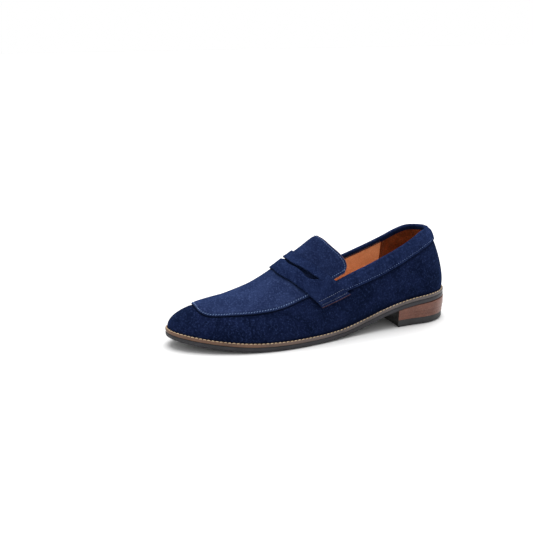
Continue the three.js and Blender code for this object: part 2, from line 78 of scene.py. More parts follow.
floor_mesh = bpy.data.meshes.new("floor")
floor_size = 30
corners = [(x * floor_size, y * floor_size, -0.0002) for x, y in ((-1, -1), (1, -1), (1, 1), (-1, 1))]
floor_mesh.from_pydata(corners, [], [(0, 1, 2, 3)])
floor = bpy.data.objects.new("floor", floor_mesh)
bpy.context.scene.collection.objects.link(floor)
floor_material, nodes, links, shader = new_material("pale floor", roughness=0.9)
shader.inputs["Base Color"].default_value = (0.62, 0.62, 0.62, 1)
shader.inputs["Specular IOR Level"].default_value = 0.15
floor_mesh.materials.append(floor_material)


def soft_light(name, direction, spread, strength):
    """Even light from a far, wide source, shining down along a direction."""
    light = bpy.data.lights.new(name, "SUN")
    light.angle = math.radians(spread)
    light.energy = strength
    lamp = bpy.data.objects.new(name, light)
    bpy.context.scene.collection.objects.link(lamp)
    lamp.rotation_euler = Vector(direction).to_track_quat("-Z", "Y").to_euler()


soft_light("overhead", (0.22, -0.16, -1), 60, 4.2)
world = bpy.data.worlds.new("studio")
world.use_nodes = True
background = world.node_tree.nodes["Background"]
background.inputs["Color"].default_value = (1, 1, 1, 1)
background.inputs["Strength"].default_value = 1.0
bpy.context.scene.world = world
bpy.context.scene.view_settings.view_transform = "Standard"

# ---------------------------------------------------------------------- the last
# The form that the shoe is built round. A place on it is c, from heel back (0) to toe tip (1), v, from
# the feather edge where upper meets sole (0) to the ridge on top (1), and the side of the foot, 1 for
# the outer one. The sizes are in millimetres, and are the ones that the parts were cut to.

MM = 0.001
LAST_LENGTH = 290.0
HEEL_AXIS_X = -2.83
MIDDLE_S = 145.0
RIDGE_FROM_HEEL, RIDGE_FROM_TOE = 38.0, 52.0
HEEL_ROUND, HEEL_SQUARENESS = 0.12, 2.2
TOE_ROUND, TOE_SQUARENESS = 0.4, 2.5
FEATHER = 8.5
DROP_POWER = 6


def curve(xs, ys):
    """Smooth curve through a few points, straight on past both ends."""
    xs, ys = np.array(xs, float), np.array(ys, float)
    slopes = np.diff(ys) / np.diff(xs)
    steps = np.diff(xs)
    tangents = np.concatenate([
        slopes[:1],
        (slopes[:-1] * steps[1:] + slopes[1:] * steps[:-1]) / (steps[:-1] + steps[1:]),
        slopes[-1:],
    ])

    def value(x):
        x = np.asarray(x, float)
        i = np.clip(np.searchsorted(xs, x) - 1, 0, len(xs) - 2)
        t = np.clip((x - xs[i]) / steps[i], 0, 1)
        inside = ys[i] + (ys[i + 1] - ys[i]) * t * t * (3 - 2 * t)
        inside = inside + steps[i] * (tangents[i] * t * (1 - t) ** 2 - tangents[i + 1] * t * t * (1 - t))
        before = tangents[0] * np.minimum(x - xs[0], 0)
        after = tangents[-1] * np.maximum(x - xs[-1], 0)
        return inside + before + after

    return value


outer_half_width = curve(
    [0, 0.1, 0.22, 0.36, 0.5, 0.62, 0.72, 0.82, 1], [31, 30.7, 31.7, 34.8, 41.5, 45.8, 46.5, 45, 38])
inner_half_width = curve(
    [0, 0.1, 0.22, 0.36, 0.5, 0.62, 0.7, 0.82, 1], [29.9, 30.1, 28.1, 27.5, 33, 39.7, 40.8, 42, 34.7])
centre_line = curve([0, 0.35, 0.6, 0.8, 1], [0, 0, 0.5, -1.5, -6])
sole_pitch = curve(
    [-8, 20, 45, 60, 80, 100, 120, 145, 170, 196, 225, 255, 300],
    [23.4, 22.8, 20.6, 18.2, 13.4, 7.6, 2.9, 0.4, 0, 0, 1.0, 4.0, 10.5])
flank_base = curve(
    [-8, 40, 80, 120, 150, 178, 196, 225, 255, 300], [21, 20.5, 18.5, 9.5, 3.2, 0.3, 0, 0.9, 3.8, 10.5])
ridge_height = curve([0, 0.2, 0.4, 0.6, 0.8, 0.9, 1], [117.6, 116, 104, 79.5, 53.2, 45.7, 41.8])
shoulder_reach = curve([0, 0.15, 0.35, 0.6, 0.8, 1], [0.469, 0.383, 0.381, 0.373, 0.449, 0.53])
flank_reach = curve([0, 0.2, 0.5, 0.8, 1], [1.128, 1.095, 1.108, 1.083, 1.037])
flank_height = curve([0, 0.2, 0.5, 0.8, 1], [0.311, 0.399, 0.363, 0.382, 0.489])


def sole_underside(s):
    """Height of the sole's underside: the ball of the foot lies flat on the floor."""
    return np.maximum(sole_pitch(s), 0)


def feather_edge(c, side):
    heel = np.maximum(1 - c / HEEL_ROUND, 0)
    toe = np.maximum(1 - (1 - c) / TOE_ROUND, 0)
    closing = np.sqrt(1 - heel ** HEEL_SQUARENESS) * np.sqrt(np.maximum(1 - toe ** TOE_SQUARENESS, 0))
    half_width = np.where(side > 0, outer_half_width(c), inner_half_width(c))
    return centre_line(c) + side * half_width * closing, LAST_LENGTH * c


def last_point(c, v, side):
    """Points [x, s, z] of the last, s being the distance from the heel back, in millimetres."""
    c, v, side = np.broadcast_arrays(np.asarray(c, float), v, side)
    edge_x, edge_s = feather_edge(c, side)
    ridge_length = LAST_LENGTH - RIDGE_FROM_HEEL - RIDGE_FROM_TOE
    ridge_s = RIDGE_FROM_HEEL + ridge_length * c
    ridge_x = centre_line(ridge_s / LAST_LENGTH)
    before, after = np.maximum(c - 0.004, 0), np.minimum(c + 0.004, 1)
    ridge_slope = (ridge_height(after) - ridge_height(before)) / (after - before) / ridge_length
    u = 1 - v
    reach = u ** 3 + 3 * u * u * v * flank_reach(c) + 3 * u * v * v * shoulder_reach(c)
    rise = 3 * u * u * v * flank_height(c) + 3 * u * v * v + v ** 3
    low = flank_base(edge_s) + FEATHER
    drop = (sole_underside(edge_s) - flank_base(edge_s)) * u ** DROP_POWER
    lean = 3 * u * v * v * shoulder_reach(c) * ridge_slope * (edge_s - ridge_s)
    return np.stack([
        ridge_x + (edge_x - ridge_x) * reach,
        ridge_s + (edge_s - ridge_s) * reach,
        low + (ridge_height(c) - low) * rise + lean + drop,
    ], -1)


def unit(vectors):
    return vectors / np.maximum(np.linalg.norm(vectors, axis=-1, keepdims=True), 1e-12)


def last_normal(c, v, side):
    """Unit vectors that point out of the last."""
    c, v, side = (np.array(a) for a in np.broadcast_arrays(np.asarray(c, float), v, side))
    step = 1e-4
    up = last_point(c, np.minimum(v + step, 1), side) - last_point(c, v - step, side)
    room = np.minimum(step, np.minimum(c, 1 - c) / 2)
    at_end = room < 1e-9
    inward = np.where(c < 0.5, step, 1 - step)
    mirror = np.where(c < 0.5, 1, -1)
    across = last_point(inward, v, mirror) - last_point(inward, v, -mirror)
    along = (last_point(c + room, v, side) - last_point(c - room, v, side)) * side[..., None]
    normal = np.cross(np.where(at_end[..., None], across, along), up)
    ridge = last_point(np.minimum(c + step, 1), 1, 1) - last_point(np.maximum(c - step, 0), 1, 1)
    on_ridge = np.stack([0 * c, -ridge[..., 2], ridge[..., 1]], -1)
    return unit(np.where((v > 1 - step)[..., None], on_ridge, normal))


def to_frame(points):
    """Millimetres [x, s, z] round the last to metres in the shoe's frame."""
    x, s, z = np.moveaxis(points, -1, 0)
    return np.stack([x + HEEL_AXIS_X, MIDDLE_S - s, z], -1) * MM


def over(c, v, side, height):
    """Points at a height above the last, in metres."""
    shapes = (np.shape(value) for value in (c, v, side, height))
    height = np.broadcast_to(height, np.broadcast_shapes(*shapes))
    return to_frame(last_point(c, v, side) + last_normal(c, v, side) * height[..., None])


def outwards(c, v, side):
    return last_normal(c, v, side) * (1, -1, 1)


def turn_at(c):
    """A turn runs round the shoe: 0 heel back, 1 toe tip by the outer side, 2 heel back again."""
    return np.arccos(1 - 2 * np.asarray(c, float)) / np.pi


def on_turn(turn):
    return (1 - np.cos(np.pi * turn)) / 2, np.where((turn < 0) | (turn > 1), -1, 1)


def smoothstep(x, low, high):
    t = np.clip((x - low) / (high - low), 0, 1)
    return t * t * (3 - 2 * t)


# Pattern lines that neighbouring pieces share. Strap, slot and tongue: c against g, which is 0 on the
# ridge and 1 at the feather edge. Apron, collar and topline: v against c.
strap_front = curve([0, 0.15, 0.45, 0.753], [0.722, 0.698, 0.618, 0.526])
strap_rear = curve([0, 0.17, 0.45, 0.753], [0.612, 0.588, 0.512, 0.416])
slot_rear = curve([0, 0.17, 0.41, 0.515], [0.655, 0.628, 0.56, 0.526])
apron_edge = curve(
    [0.5, 0.6, 0.68, 0.78, 0.86, 0.9, 0.93, 0.96, 1],
    [0.395, 0.391, 0.389, 0.427, 0.446, 0.441, 0.445, 0.503, 0.639])
topline = curve(
    [0, 0.05, 0.1, 0.155, 0.23, 0.316, 0.402, 0.456, 0.5],
    [0.605, 0.59, 0.538, 0.478, 0.421, 0.392, 0.395, 0.401, 0.404])
collar_edge = curve(
    [0, 0.023, 0.074, 0.126, 0.197, 0.283, 0.366, 0.416, 0.5],
    [0.485, 0.475, 0.435, 0.381, 0.314, 0.268, 0.268, 0.278, 0.3])

# ---------------------------------------------------------------------- suede wall
# One long strip of navy suede, 1.8 mm thick, that runs from the back seam round the toe and back to
# the back seam. It is lasted in under the shoe, so its lower edge rolls in on the welt.

WALL_TOP, WALL_UNDER = 2.8, 1.0
WALL_ROLL_IN = 1.5
FLANK_GIRTH = 95.0
# Near-black navy, the colour of painted shade on the suede pieces.
PAINTED_SHADE_NAVY = (0.0010, 0.0020, 0.0070)

def close_spaced(count, length, tight=(0.15, 0.4, 0.8, 1.3)):
    """Fractions from 0 to 1 with a few lines close to both ends, for a rounded edge."""
    near = np.array(tight) / length
    middle = np.linspace(near[-1] + 1 / count, 1 - near[-1] - 1 / count, count)
    return np.concatenate([[0], near, middle, 1 - near[::-1], [1]])


def edge_distance(points, border):
    """Distance in millimetres from each point to a border polyline."""
    flat = points.reshape(-1, 3)
    best = np.full(len(flat), np.inf)
    starts, spans = border[:-1], np.diff(border, axis=0)
    for start, span in zip(starts, spans):
        t = np.clip((flat - start) @ span / max(span @ span, 1e-18), 0, 1)
        gap = flat - start - t[:, None] * span
        best = np.minimum(best, np.einsum("ij,ij->i", gap, gap))
    return np.sqrt(best).reshape(points.shape[:-1]) / MM


def round_over(distance, radius):
    """How far a surface has dropped at a distance from its rounded edge."""
    inside = np.clip(distance / radius, 0, 1)
    return radius * (1 - np.sqrt(1 - (1 - inside) ** 2))


def stitch_groove(distance, at, depth, half_width=0.8):
    return depth * np.exp(-(((distance - at) / half_width) ** 2))


def finish_mesh(name, vertices, faces, material, masks=None, sharp=35):
    """A closed smooth mesh with merged points and outward faces, as an object of that name."""
    mesh = bpy.data.meshes.new(name)
    mesh.from_pydata([tuple(p) for p in vertices], [], faces)
    for mask, values in (masks or {}).items():
        mesh.attributes.new(mask, "FLOAT", "POINT").data.foreach_set("value", np.asarray(values, np.float32))
    work = bmesh.new()
    work.from_mesh(mesh)
    bmesh.ops.remove_doubles(work, verts=work.verts, dist=2e-6)
    bmesh.ops.recalc_face_normals(work, faces=work.faces)
    if work.calc_volume(signed=True) < 0:
        bmesh.ops.reverse_faces(work, faces=work.faces)
    work.to_mesh(mesh)
    work.free()
    mesh.shade_smooth()
    mesh.set_sharp_from_angle(angle=math.radians(sharp))
    mesh.materials.append(material)
    piece = bpy.data.objects.new(name, mesh)
    bpy.context.scene.collection.objects.link(piece)
    return piece


def skin(name, top, bottom, material, masks=None, joined=False, holes=()):
    """A closed skin between two grids of points. A joined skin has its last column on the ridge."""
    rows, columns = top.shape[:2]
    index = np.arange(rows * columns).reshape(rows, columns)
    under = index + rows * columns
    faces = []
    solid = np.ones((rows - 1, columns - 1), bool)
    for hole in holes:
        solid[hole] = False
    for i, j in zip(*np.nonzero(solid)):
        faces.append((index[i, j], index[i, j + 1], index[i + 1, j + 1], index[i + 1, j]))
        faces.append((under[i, j], under[i + 1, j], under[i + 1, j + 1], under[i, j + 1]))
    padded = np.pad(solid, 1)
    for i in range(rows - 1):
        for j in range(columns):
            if padded[i + 1, j] != padded[i + 1, j + 1] and not (joined and j == columns - 1):
                faces.append((index[i, j], index[i + 1, j], under[i + 1, j], under[i, j]))
    for i in range(rows):
        for j in range(columns - 1):
            if padded[i, j + 1] != padded[i + 1, j + 1]:
                faces.append((index[i, j], index[i, j + 1], under[i, j + 1], under[i, j]))
    vertices = np.concatenate([top.reshape(-1, 3), bottom.reshape(-1, 3)])
    both = {mask: np.concatenate([values.ravel(), values.ravel()]) for mask, values in (masks or {}).items()}
    return finish_mesh(name, vertices, [tuple(int(k) for k in face) for face in faces], material, both)


def finish_piece(piece, slot, *nodes):
    """A piece that keeps its place on the shoe."""
    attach(piece, "shoe")
    if nodes:
        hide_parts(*nodes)


def node_group(name, inputs, outputs):
    """An empty shader node group with named sockets, and its two end nodes."""
    group = bpy.data.node_groups.new(name, "ShaderNodeTree")
    kinds = {"value": "NodeSocketFloat", "vector": "NodeSocketVector", "colour": "NodeSocketColor"}
    for socket, (kind, value) in inputs.items():
        made = group.interface.new_socket(socket, in_out="INPUT", socket_type=kinds[kind])
        if value is not None:
            made.default_value = value
    for socket, kind in outputs.items():
        group.interface.new_socket(socket, in_out="OUTPUT", socket_type=kinds[kind])
    return group, group.nodes.new("NodeGroupInput"), group.nodes.new("NodeGroupOutput")


def add_noise(nodes, links, vector, scale, detail=2.0, roughness=0.5, distortion=0.0):
    """A noise texture: scale is a number or a socket."""
    noise = nodes.new("ShaderNodeTexNoise")
    noise.inputs["Detail"].default_value = detail
    noise.inputs["Roughness"].default_value = roughness
    noise.inputs["Distortion"].default_value = distortion
    links.new(vector, noise.inputs["Vector"])
    if isinstance(scale, (int, float)):
        noise.inputs["Scale"].default_value = scale
    else:
        links.new(scale, noise.inputs["Scale"])
    return noise.outputs["Fac"]


def math_node(nodes, links, operation, *values, clamp=False):
    node = nodes.new("ShaderNodeMath")
    node.operation = operation
    node.use_clamp = clamp
    for socket, value in zip(node.inputs, values):
        if isinstance(value, (int, float)):
            socket.default_value = value
        else:
            links.new(value, socket)
    return node.outputs[0]


def spread(nodes, links, value, low, high):
    """Stretches a band of values to 0..1."""
    node = nodes.new("ShaderNodeMapRange")
    node.interpolation_type = "SMOOTHSTEP"
    node.inputs["From Min"].default_value = low
    node.inputs["From Max"].default_value = high
    links.new(value, node.inputs["Value"])
    return node.outputs["Result"]


def mix_colours(nodes, links, amount, first, second, mode="MIX"):
    node = nodes.new("ShaderNodeMix")
    node.data_type = "RGBA"
    node.blend_type = mode
    for socket, value in zip((node.inputs[0], node.inputs[6], node.inputs[7]), (amount, first, second)):
        if isinstance(value, tuple):
            socket.default_value = (*value, 1)
        elif isinstance(value, (int, float)):
            socket.default_value = value
        else:
            links.new(value, socket)
    return node.outputs[2]


def add_bump(nodes, links, shader, height, distance, strength=1.0):
    bump = nodes.new("ShaderNodeBump")
    bump.inputs["Strength"].default_value = strength
    bump.inputs["Distance"].default_value = distance
    links.new(height, bump.inputs["Height"])
    links.new(bump.outputs["Normal"], shader.inputs["Normal"])


def make_nap_group():
    """Suede nap: soft brushed patches, fine clumps of fibre and a height for them."""
    group, start, end = node_group(
        "suede_nap",
        {"Coordinates": ("vector", None), "Patch scale": ("value", 45.0), "Fibre scale": ("value", 1250.0)},
        {"Patches": "value", "Clumps": "value", "Fibres": "value", "Height": "value"},
    )
    nodes, links = group.nodes, group.links
    vector = start.outputs["Coordinates"]
    patches = add_noise(nodes, links, vector, start.outputs["Patch scale"], 4.0, 0.6, 0.8)
    clump_scale = math_node(nodes, links, "MULTIPLY", start.outputs["Fibre scale"], 0.42)
    clumps = add_noise(nodes, links, vector, clump_scale, 3.0, 0.75, 0.2)
    fibres = add_noise(nodes, links, vector, start.outputs["Fibre scale"], 2.0, 0.7)
    links.new(spread(nodes, links, patches, 0.38, 0.62), end.inputs["Patches"])
    links.new(spread(nodes, links, clumps, 0.47, 0.70), end.inputs["Clumps"])
    links.new(spread(nodes, links, fibres, 0.38, 0.58), end.inputs["Fibres"])
    rough = math_node(nodes, links, "MULTIPLY_ADD", clumps, 1.6, fibres)
    links.new(rough, end.inputs["Height"])
    return group


suede_nap = make_nap_group()


def suede(
        name, deep, body, bright, raw_edge_and_shade_colour=None, raw_edge_and_shade_strength=1.0, patch_scale=45.0,
        sheen=0.04, sheen_tint=(0.25, 0.45, 1.0, 1)):
    """Brushed suede with its nap lying both ways, and another colour where the edge mask says so: the raw
    edge's own colour on strap and tongue, painted shade on wall, apron and collar.
    """
    material, nodes, links, shader = new_material(
        name, roughness=0.95, Specular_IOR_Level=0.0, Sheen_Weight=sheen, Sheen_Roughness=0.5,
        Sheen_Tint=sheen_tint)
    place = nodes.new("ShaderNodeTexCoord").outputs["Object"]
    nap = nodes.new("ShaderNodeGroup")
    nap.node_tree = suede_nap
    nap.inputs["Patch scale"].default_value = patch_scale
    links.new(place, nap.inputs["Coordinates"])
    colour = mix_colours(nodes, links, nap.outputs["Patches"], deep, body)
    clumps = math_node(nodes, links, "MULTIPLY", nap.outputs["Clumps"], 0.62)
    colour = mix_colours(nodes, links, clumps, colour, bright)
    pits = math_node(nodes, links, "SUBTRACT", 1.0, nap.outputs["Fibres"])
    colour = mix_colours(nodes, links, math_node(nodes, links, "MULTIPLY", pits, 0.8), colour, deep)
    # Edge mask: the raw edge's own colour on strap and tongue, painted shade on wall, apron and collar.
    if raw_edge_and_shade_colour:
        edge = nodes.new("ShaderNodeAttribute")
        edge.attribute_name = "edge"
        raw_edge_and_shade_mix = math_node(nodes, links, "MULTIPLY", edge.outputs["Fac"], raw_edge_and_shade_strength)
        broken = math_node(nodes, links, "MULTIPLY_ADD", nap.outputs["Clumps"], 0.6, 0.6)
        raw_edge_and_shade_mix = math_node(nodes, links, "MULTIPLY", raw_edge_and_shade_mix, broken, clamp=True)
        colour = mix_colours(nodes, links, raw_edge_and_shade_mix, colour, raw_edge_and_shade_colour)
    links.new(colour, shader.inputs["Base Color"])
    add_bump(nodes, links, shader, nap.outputs["Height"], 0.0006, 0.6)
    return material


# Darker colours than the apron's and tongue's, though likely the same suede: painted shade for the wall's
# sides, which face away from the overhead light, with part of the difference the apron's nap brushed lighter.
wall_suede = suede(
    "navy suede wall", (0.0022, 0.0042, 0.0160), (0.0060, 0.0102, 0.036), (0.0260, 0.0420, 0.115),
    PAINTED_SHADE_NAVY, 0.9)


def wobble(points, size, seed):
    """Slow unevenness of hand-lasted leather, from -1 to 1."""
    x, y, z = np.moveaxis(points, -1, 0) / size
    broad = np.sin(x * 1.7 + seed) * np.cos(y * 1.3 - seed * 0.7)
    middling = np.sin(y * 2.9 + z * 1.9 + seed * 1.3) * 0.6
    small = np.sin((x + z) * 4.1 + seed * 2.1) * 0.3
    return (broad + middling + small) / 1.9


def make_wall():
    back_seam_gap, lowest_v = 0.0006, -0.004
    turns = back_seam_gap + (2 - 2 * back_seam_gap) * close_spaced(330, 700)
    c, side = on_turn(turns)
    forward = smoothstep(c, 0.49, 0.54)
    top_v = (topline(c) - 0.03) * (1 - forward) + (apron_edge(c) + 0.045) * forward
    up = np.concatenate([[0, 0.004, 0.010, 0.019, 0.03, 0.045], np.linspace(0.07, 1, 34)])
    v = lowest_v + (top_v[:, None] - lowest_v) * up[None, :]
    c, side = c[:, None] + 0 * v, side[:, None] + 0 * v
    flat = over(c, v, side, WALL_TOP)
    seam = (np.where(c > 0.5, apron_edge(c), collar_edge(c)) - v) * FLANK_GIRTH
    ends = np.minimum(edge_distance(flat, flat[0]), edge_distance(flat, flat[-1]))
    height = WALL_TOP - round_over((v - lowest_v) * FLANK_GIRTH, WALL_ROLL_IN)
    height -= 0.45 * np.exp(-((seam / 2.2) ** 2)) + round_over(ends, 0.6)
    height += 0.16 * wobble(flat, 0.013, 1.0) * smoothstep(v, 0.02, 0.12)
    # Painted shade for the near-black edge mask: over the seams under the collar and apron and just beside
    # them, in a band just ahead of the strap's front edge, and just above the welt.
    seam_shade = (seam < 0) + (seam >= 0) * np.exp(-((seam / 1.5) ** 2))
    strap_shadow = strap_front(1 - v) + 0.006
    strap_shadow_mask = smoothstep(v, 0.24, 0.26) * (c > 0.4) * smoothstep(c, strap_shadow, strap_shadow - 0.004)
    welt_shade = 0.95 * (1 - smoothstep(v, 0.012, 0.045))
    masks = {"edge": np.maximum.reduce([seam_shade, strap_shadow_mask, welt_shade])}
    piece = skin("wall", over(c, v, side, height), over(c, v, side, WALL_UNDER), wall_suede, masks)
    finish_piece(piece, "suede_navy", "wall")


make_wall()

# ---------------------------------------------------------------------- apron
# The suede plug on top of the toes, laid over the wall's edge and sewn down 2.3 mm in from its own
# cut edge, which stands up as a fine raised line. Its rear end is hidden under the strap.

APRON_TOP, APRON_UNDER = 4.4, 2.9
APRON_SEAM = 2.3
APRON_REACH = 0.61
# Lighter colours than the wall's, though likely the same suede: painted light for the apron's top, which
# faces the overhead light, and partly its nap brushed lighter.
apron_suede = suede(
    "navy suede apron", (0.0090, 0.0155, 0.048), (0.0170, 0.0275, 0.076), (0.046, 0.070, 0.165),
    PAINTED_SHADE_NAVY, patch_scale=38.0)


def under_strap(g):
    return strap_rear(g) + 0.028


def make_apron():
    up = np.concatenate([[0, 0.004, 0.009, 0.017, 0.028, 0.040, 0.053], np.linspace(0.07, 1, 46)])
    start = turn_at(under_strap((1 - up) * APRON_REACH))
    along = np.linspace(0, 1, 150) ** 0.85
    outer = start[None, :] + (1 - start[None, :]) * along[:, None]
    turns = np.concatenate([outer, 2 - outer[-2::-1]])
    c, side = on_turn(turns)
    low = apron_edge(c)
    v = low + (1 - low) * up[None, :]
    flat = over(c, v, side, APRON_TOP)
    edge = edge_distance(flat, flat[:, 0])
    height = APRON_TOP - round_over(edge, 0.5) - stitch_groove(edge, APRON_SEAM, 0.35)
    height -= 0.25 * smoothstep(edge, 3, 14) + 0.45 * np.exp(-((edge / 1.4) ** 2))
    height += 0.12 * wobble(flat, 0.016, 3.0) * smoothstep(edge, 4, 12)
    g = 1 - v
    strap_shade = smoothstep(c, strap_front(g) + 0.0075, strap_front(g) + 0.001)
    slot_hollow = smoothstep(c, slot_rear(g) - 0.016, slot_rear(g) - 0.006)
    slot_hollow *= smoothstep(c, slot_rear(g) + 0.032, slot_rear(g) + 0.016) * smoothstep(g, 0.56, 0.5)
    height -= slot_hollow * smoothstep(g, 0.08, 0.2)
    # Painted shade for the near-black edge mask: along the apron's cut edge, and under the strap and just
    # ahead of its front edge.
    masks = {"edge": np.maximum(0.9 * np.exp(-((edge / 0.45) ** 2)), strap_shade)}
    under = over(c, v, side, APRON_UNDER)
    piece = skin("apron", over(c, v, side, height), under, apron_suede, masks, joined=True)
    finish_piece(piece, "suede_navy_light", "apron")


make_apron()

# ---------------------------------------------------------------------- saddle strap
# A separate 1.7 mm suede strap across the instep with raw, squared ends and a long narrow slot. On
# both sides of the ridge the slot opens forward in a lobe. Only its two ends are sewn down.

STRAP_REACH = 0.753
SLOT_REACH = 0.515
STRAP_TOP, STRAP_UNDER = 6.3, 4.6
STRAP_SEAMS = (2.4, 6.2)
slot_width = curve(
    [0, 0.04, 0.12, 0.3, 0.368, 0.421, 0.465, 0.515], [0.0045, 0.007, 0.010, 0.011, 0.016, 0.022, 0.020, 0])
strap_suede = suede(
    "navy suede strap", (0.0046, 0.0086, 0.031), (0.0100, 0.0175, 0.055), (0.0300, 0.0480, 0.125),
    raw_edge_and_shade_colour=(0.150, 0.068, 0.040))


def strap_settle(c, g):
    """How far the strap's ends sink where no apron lies under them."""
    return 1.3 * smoothstep(g, 0.70, STRAP_REACH) * smoothstep(c, 0.44, 0.50)


def make_strap():
    reach = STRAP_REACH * (2 * close_spaced(190, 150) - 1)
    g = np.abs(reach)[:, None]
    side = np.where(reach < 0, -1, 1)[:, None]
    slotted = g < SLOT_REACH
    rear, front = strap_rear(g), strap_front(g)
    slot_low = slot_rear(g)
    slot_high = slot_low + np.where(slotted, np.maximum(slot_width(g), 0), 0)
    band = close_spaced(9, 12)
    c = np.concatenate([rear + (slot_low - rear) * band, slot_high + (front - slot_high) * band], 1)
    g = g + 0 * c
    side = side + 0 * c
    flat = over(c, 1 - g, side, STRAP_TOP)
    split = len(band)
    inside = np.nonzero(slotted[:, 0])[0]
    outline = np.concatenate([flat[0], flat[:, -1], flat[-1, ::-1], flat[::-1, 0]])
    edge = edge_distance(flat, outline)
    slot_line = np.concatenate([flat[inside, split - 1], flat[inside[::-1], split]])
    slot_edge = edge_distance(flat, slot_line)
    nearest = np.minimum(edge, slot_edge)
    ends = (STRAP_REACH - g) * FLANK_GIRTH
    settle = strap_settle(c, g)
    lift = 0.5 * np.exp(-((slot_edge / 3.0) ** 2)) * (c < slot_low)
    height = STRAP_TOP - round_over(nearest, 0.5) - settle + lift
    height -= sum(stitch_groove(ends, seam, 0.3) for seam in STRAP_SEAMS)
    under = np.broadcast_to(STRAP_UNDER - settle + lift, height.shape)
    end_edge = np.minimum(edge_distance(flat, flat[0]), edge_distance(flat, flat[-1]))
    masks = {"edge": 0.9 * np.exp(-((end_edge / 0.55) ** 2))}
    first, last = inside[0], inside[-1]
    piece = skin(
        "strap", over(c, 1 - g, side, height), over(c, 1 - g, side, under), strap_suede, masks,
        holes=[(slice(first - 1, last + 1), slice(split - 1, split))])
    finish_piece(piece, "suede_navy", "strap")


make_strap()

# ---------------------------------------------------------------------- collar
# A soft strip of lighter suede that binds the topline. Its lower edge is turned and sewn to the wall,
# and its upper edge folds over the topline and is stuck down on the lining inside.

COLLAR_TOP, COLLAR_UNDER = 4.4, 3.3
FLAP_TOP, FLAP_UNDER = -1.85, -1.15
FOLD, INNER_FLAP = 0.018, 0.042
TOP_THINNING = 1.2
QUARTER_GIRTH = 100
COLLAR_FRONT = turn_at(0.475)
RISE_POINTS = 20
collar_suede = suede(
    "navy suede collar", (0.0046, 0.0086, 0.031), (0.0098, 0.0170, 0.055), (0.0340, 0.0540, 0.140),
    PAINTED_SHADE_NAVY, patch_scale=60.0)


def collar_profile(top, bottom, outer, inner, fold):
    """v and height of one face of the collar, from its lower edge over the fold to the inner flap."""
    rise = bottom + (top - FOLD - bottom) * np.linspace(0, 1, RISE_POINTS)[None, :] ** 1.2
    round_the_fold = np.pi * np.linspace(0, 1, 9)[None, 1:-1]
    over_top = top - FOLD + fold * np.sin(round_the_fold)
    down = top - FOLD - (INNER_FLAP - FOLD) * np.linspace(0, 1, 6)[None, :]
    thinned = outer - TOP_THINNING * smoothstep(rise, top - 0.055, top - FOLD)
    middle, half = (outer - TOP_THINNING + inner) / 2, (outer - TOP_THINNING - inner) / 2
    over_heights = middle + half * np.cos(round_the_fold) + 0 * over_top
    v = np.concatenate([rise, over_top, down], 1)
    return v, np.concatenate([thinned, over_heights, inner + 0 * down], 1)


def make_collar():
    turns = np.linspace(-COLLAR_FRONT, COLLAR_FRONT, 221)
    c, side = on_turn(turns)
    c, side = c[:, None], side[:, None]
    top, bottom = topline(c), collar_edge(c)
    v, height = collar_profile(top, bottom, COLLAR_TOP, FLAP_TOP, FOLD)
    flat = over(c, v, side, COLLAR_TOP)
    edge = edge_distance(flat, flat[:, 0])
    outside = np.arange(v.shape[1]) < RISE_POINTS
    width = (top - bottom) * QUARTER_GIRTH
    crown = 0.35 * np.sin(np.pi * np.clip(edge / np.maximum(width, 1), 0, 1))
    shaped = height - round_over(edge, 0.6) - stitch_groove(edge, 1.8, 0.3, 0.6) + crown
    back_seam = 0.5 * np.exp(-((turns[:, None] / 0.0065) ** 2))
    height = np.where(outside, shaped, height) - np.where(height > 0, back_seam, 0)
    under_v, under_height = collar_profile(top, bottom, COLLAR_UNDER, FLAP_UNDER, FOLD * 0.7)
    under_height = under_height - np.where(under_height > 2, back_seam * 0.5, 0)
    # Painted shade for the near-black edge mask: along the collar's cut lower edge outside, and over the flap
    # where it lies inside the shoe.
    cut_edge_shade, shade_in_the_shoe = 0.8 * np.exp(-((edge / 0.35) ** 2)), 0.55 * smoothstep(height, 0, -1.2)
    masks = {"edge": np.where(outside, cut_edge_shade, shade_in_the_shoe)}
    under = over(c, under_v, side, under_height)
    piece = skin("collar", over(c, v, side, height), under, collar_suede, masks)
    finish_piece(piece, "suede_navy", "collar")


make_collar()

# ---------------------------------------------------------------------- tongue
# A loose flap of suede behind the strap, lined with tan leather and sewn round its edge, coloured lighter
# than the wall as painted light on its top. It is held under the strap, and bends up there when a foot goes
# in.

TONGUE_REACH = 0.58
TONGUE_TOP, TONGUE_UNDER = 4.35, 3.1
BACKING_TOP, BACKING_UNDER = 2.9, 1.7
TONGUE_SEAM = 2.4
tongue_rear = curve(
    [0, 0.035, 0.12, 0.298, 0.425, 0.495, 0.54, 0.58],
    [0.488, 0.487, 0.477, 0.451, 0.423, 0.411, 0.411, 0.424])
# Lighter than the wall's colours: painted light for the tongue's top, which faces the overhead light.
tongue_suede = suede(
    "navy suede tongue", (0.0060, 0.0105, 0.035), (0.0118, 0.0200, 0.060), (0.0330, 0.0520, 0.132),
    raw_edge_and_shade_colour=(0.22, 0.12, 0.08), patch_scale=55.0)


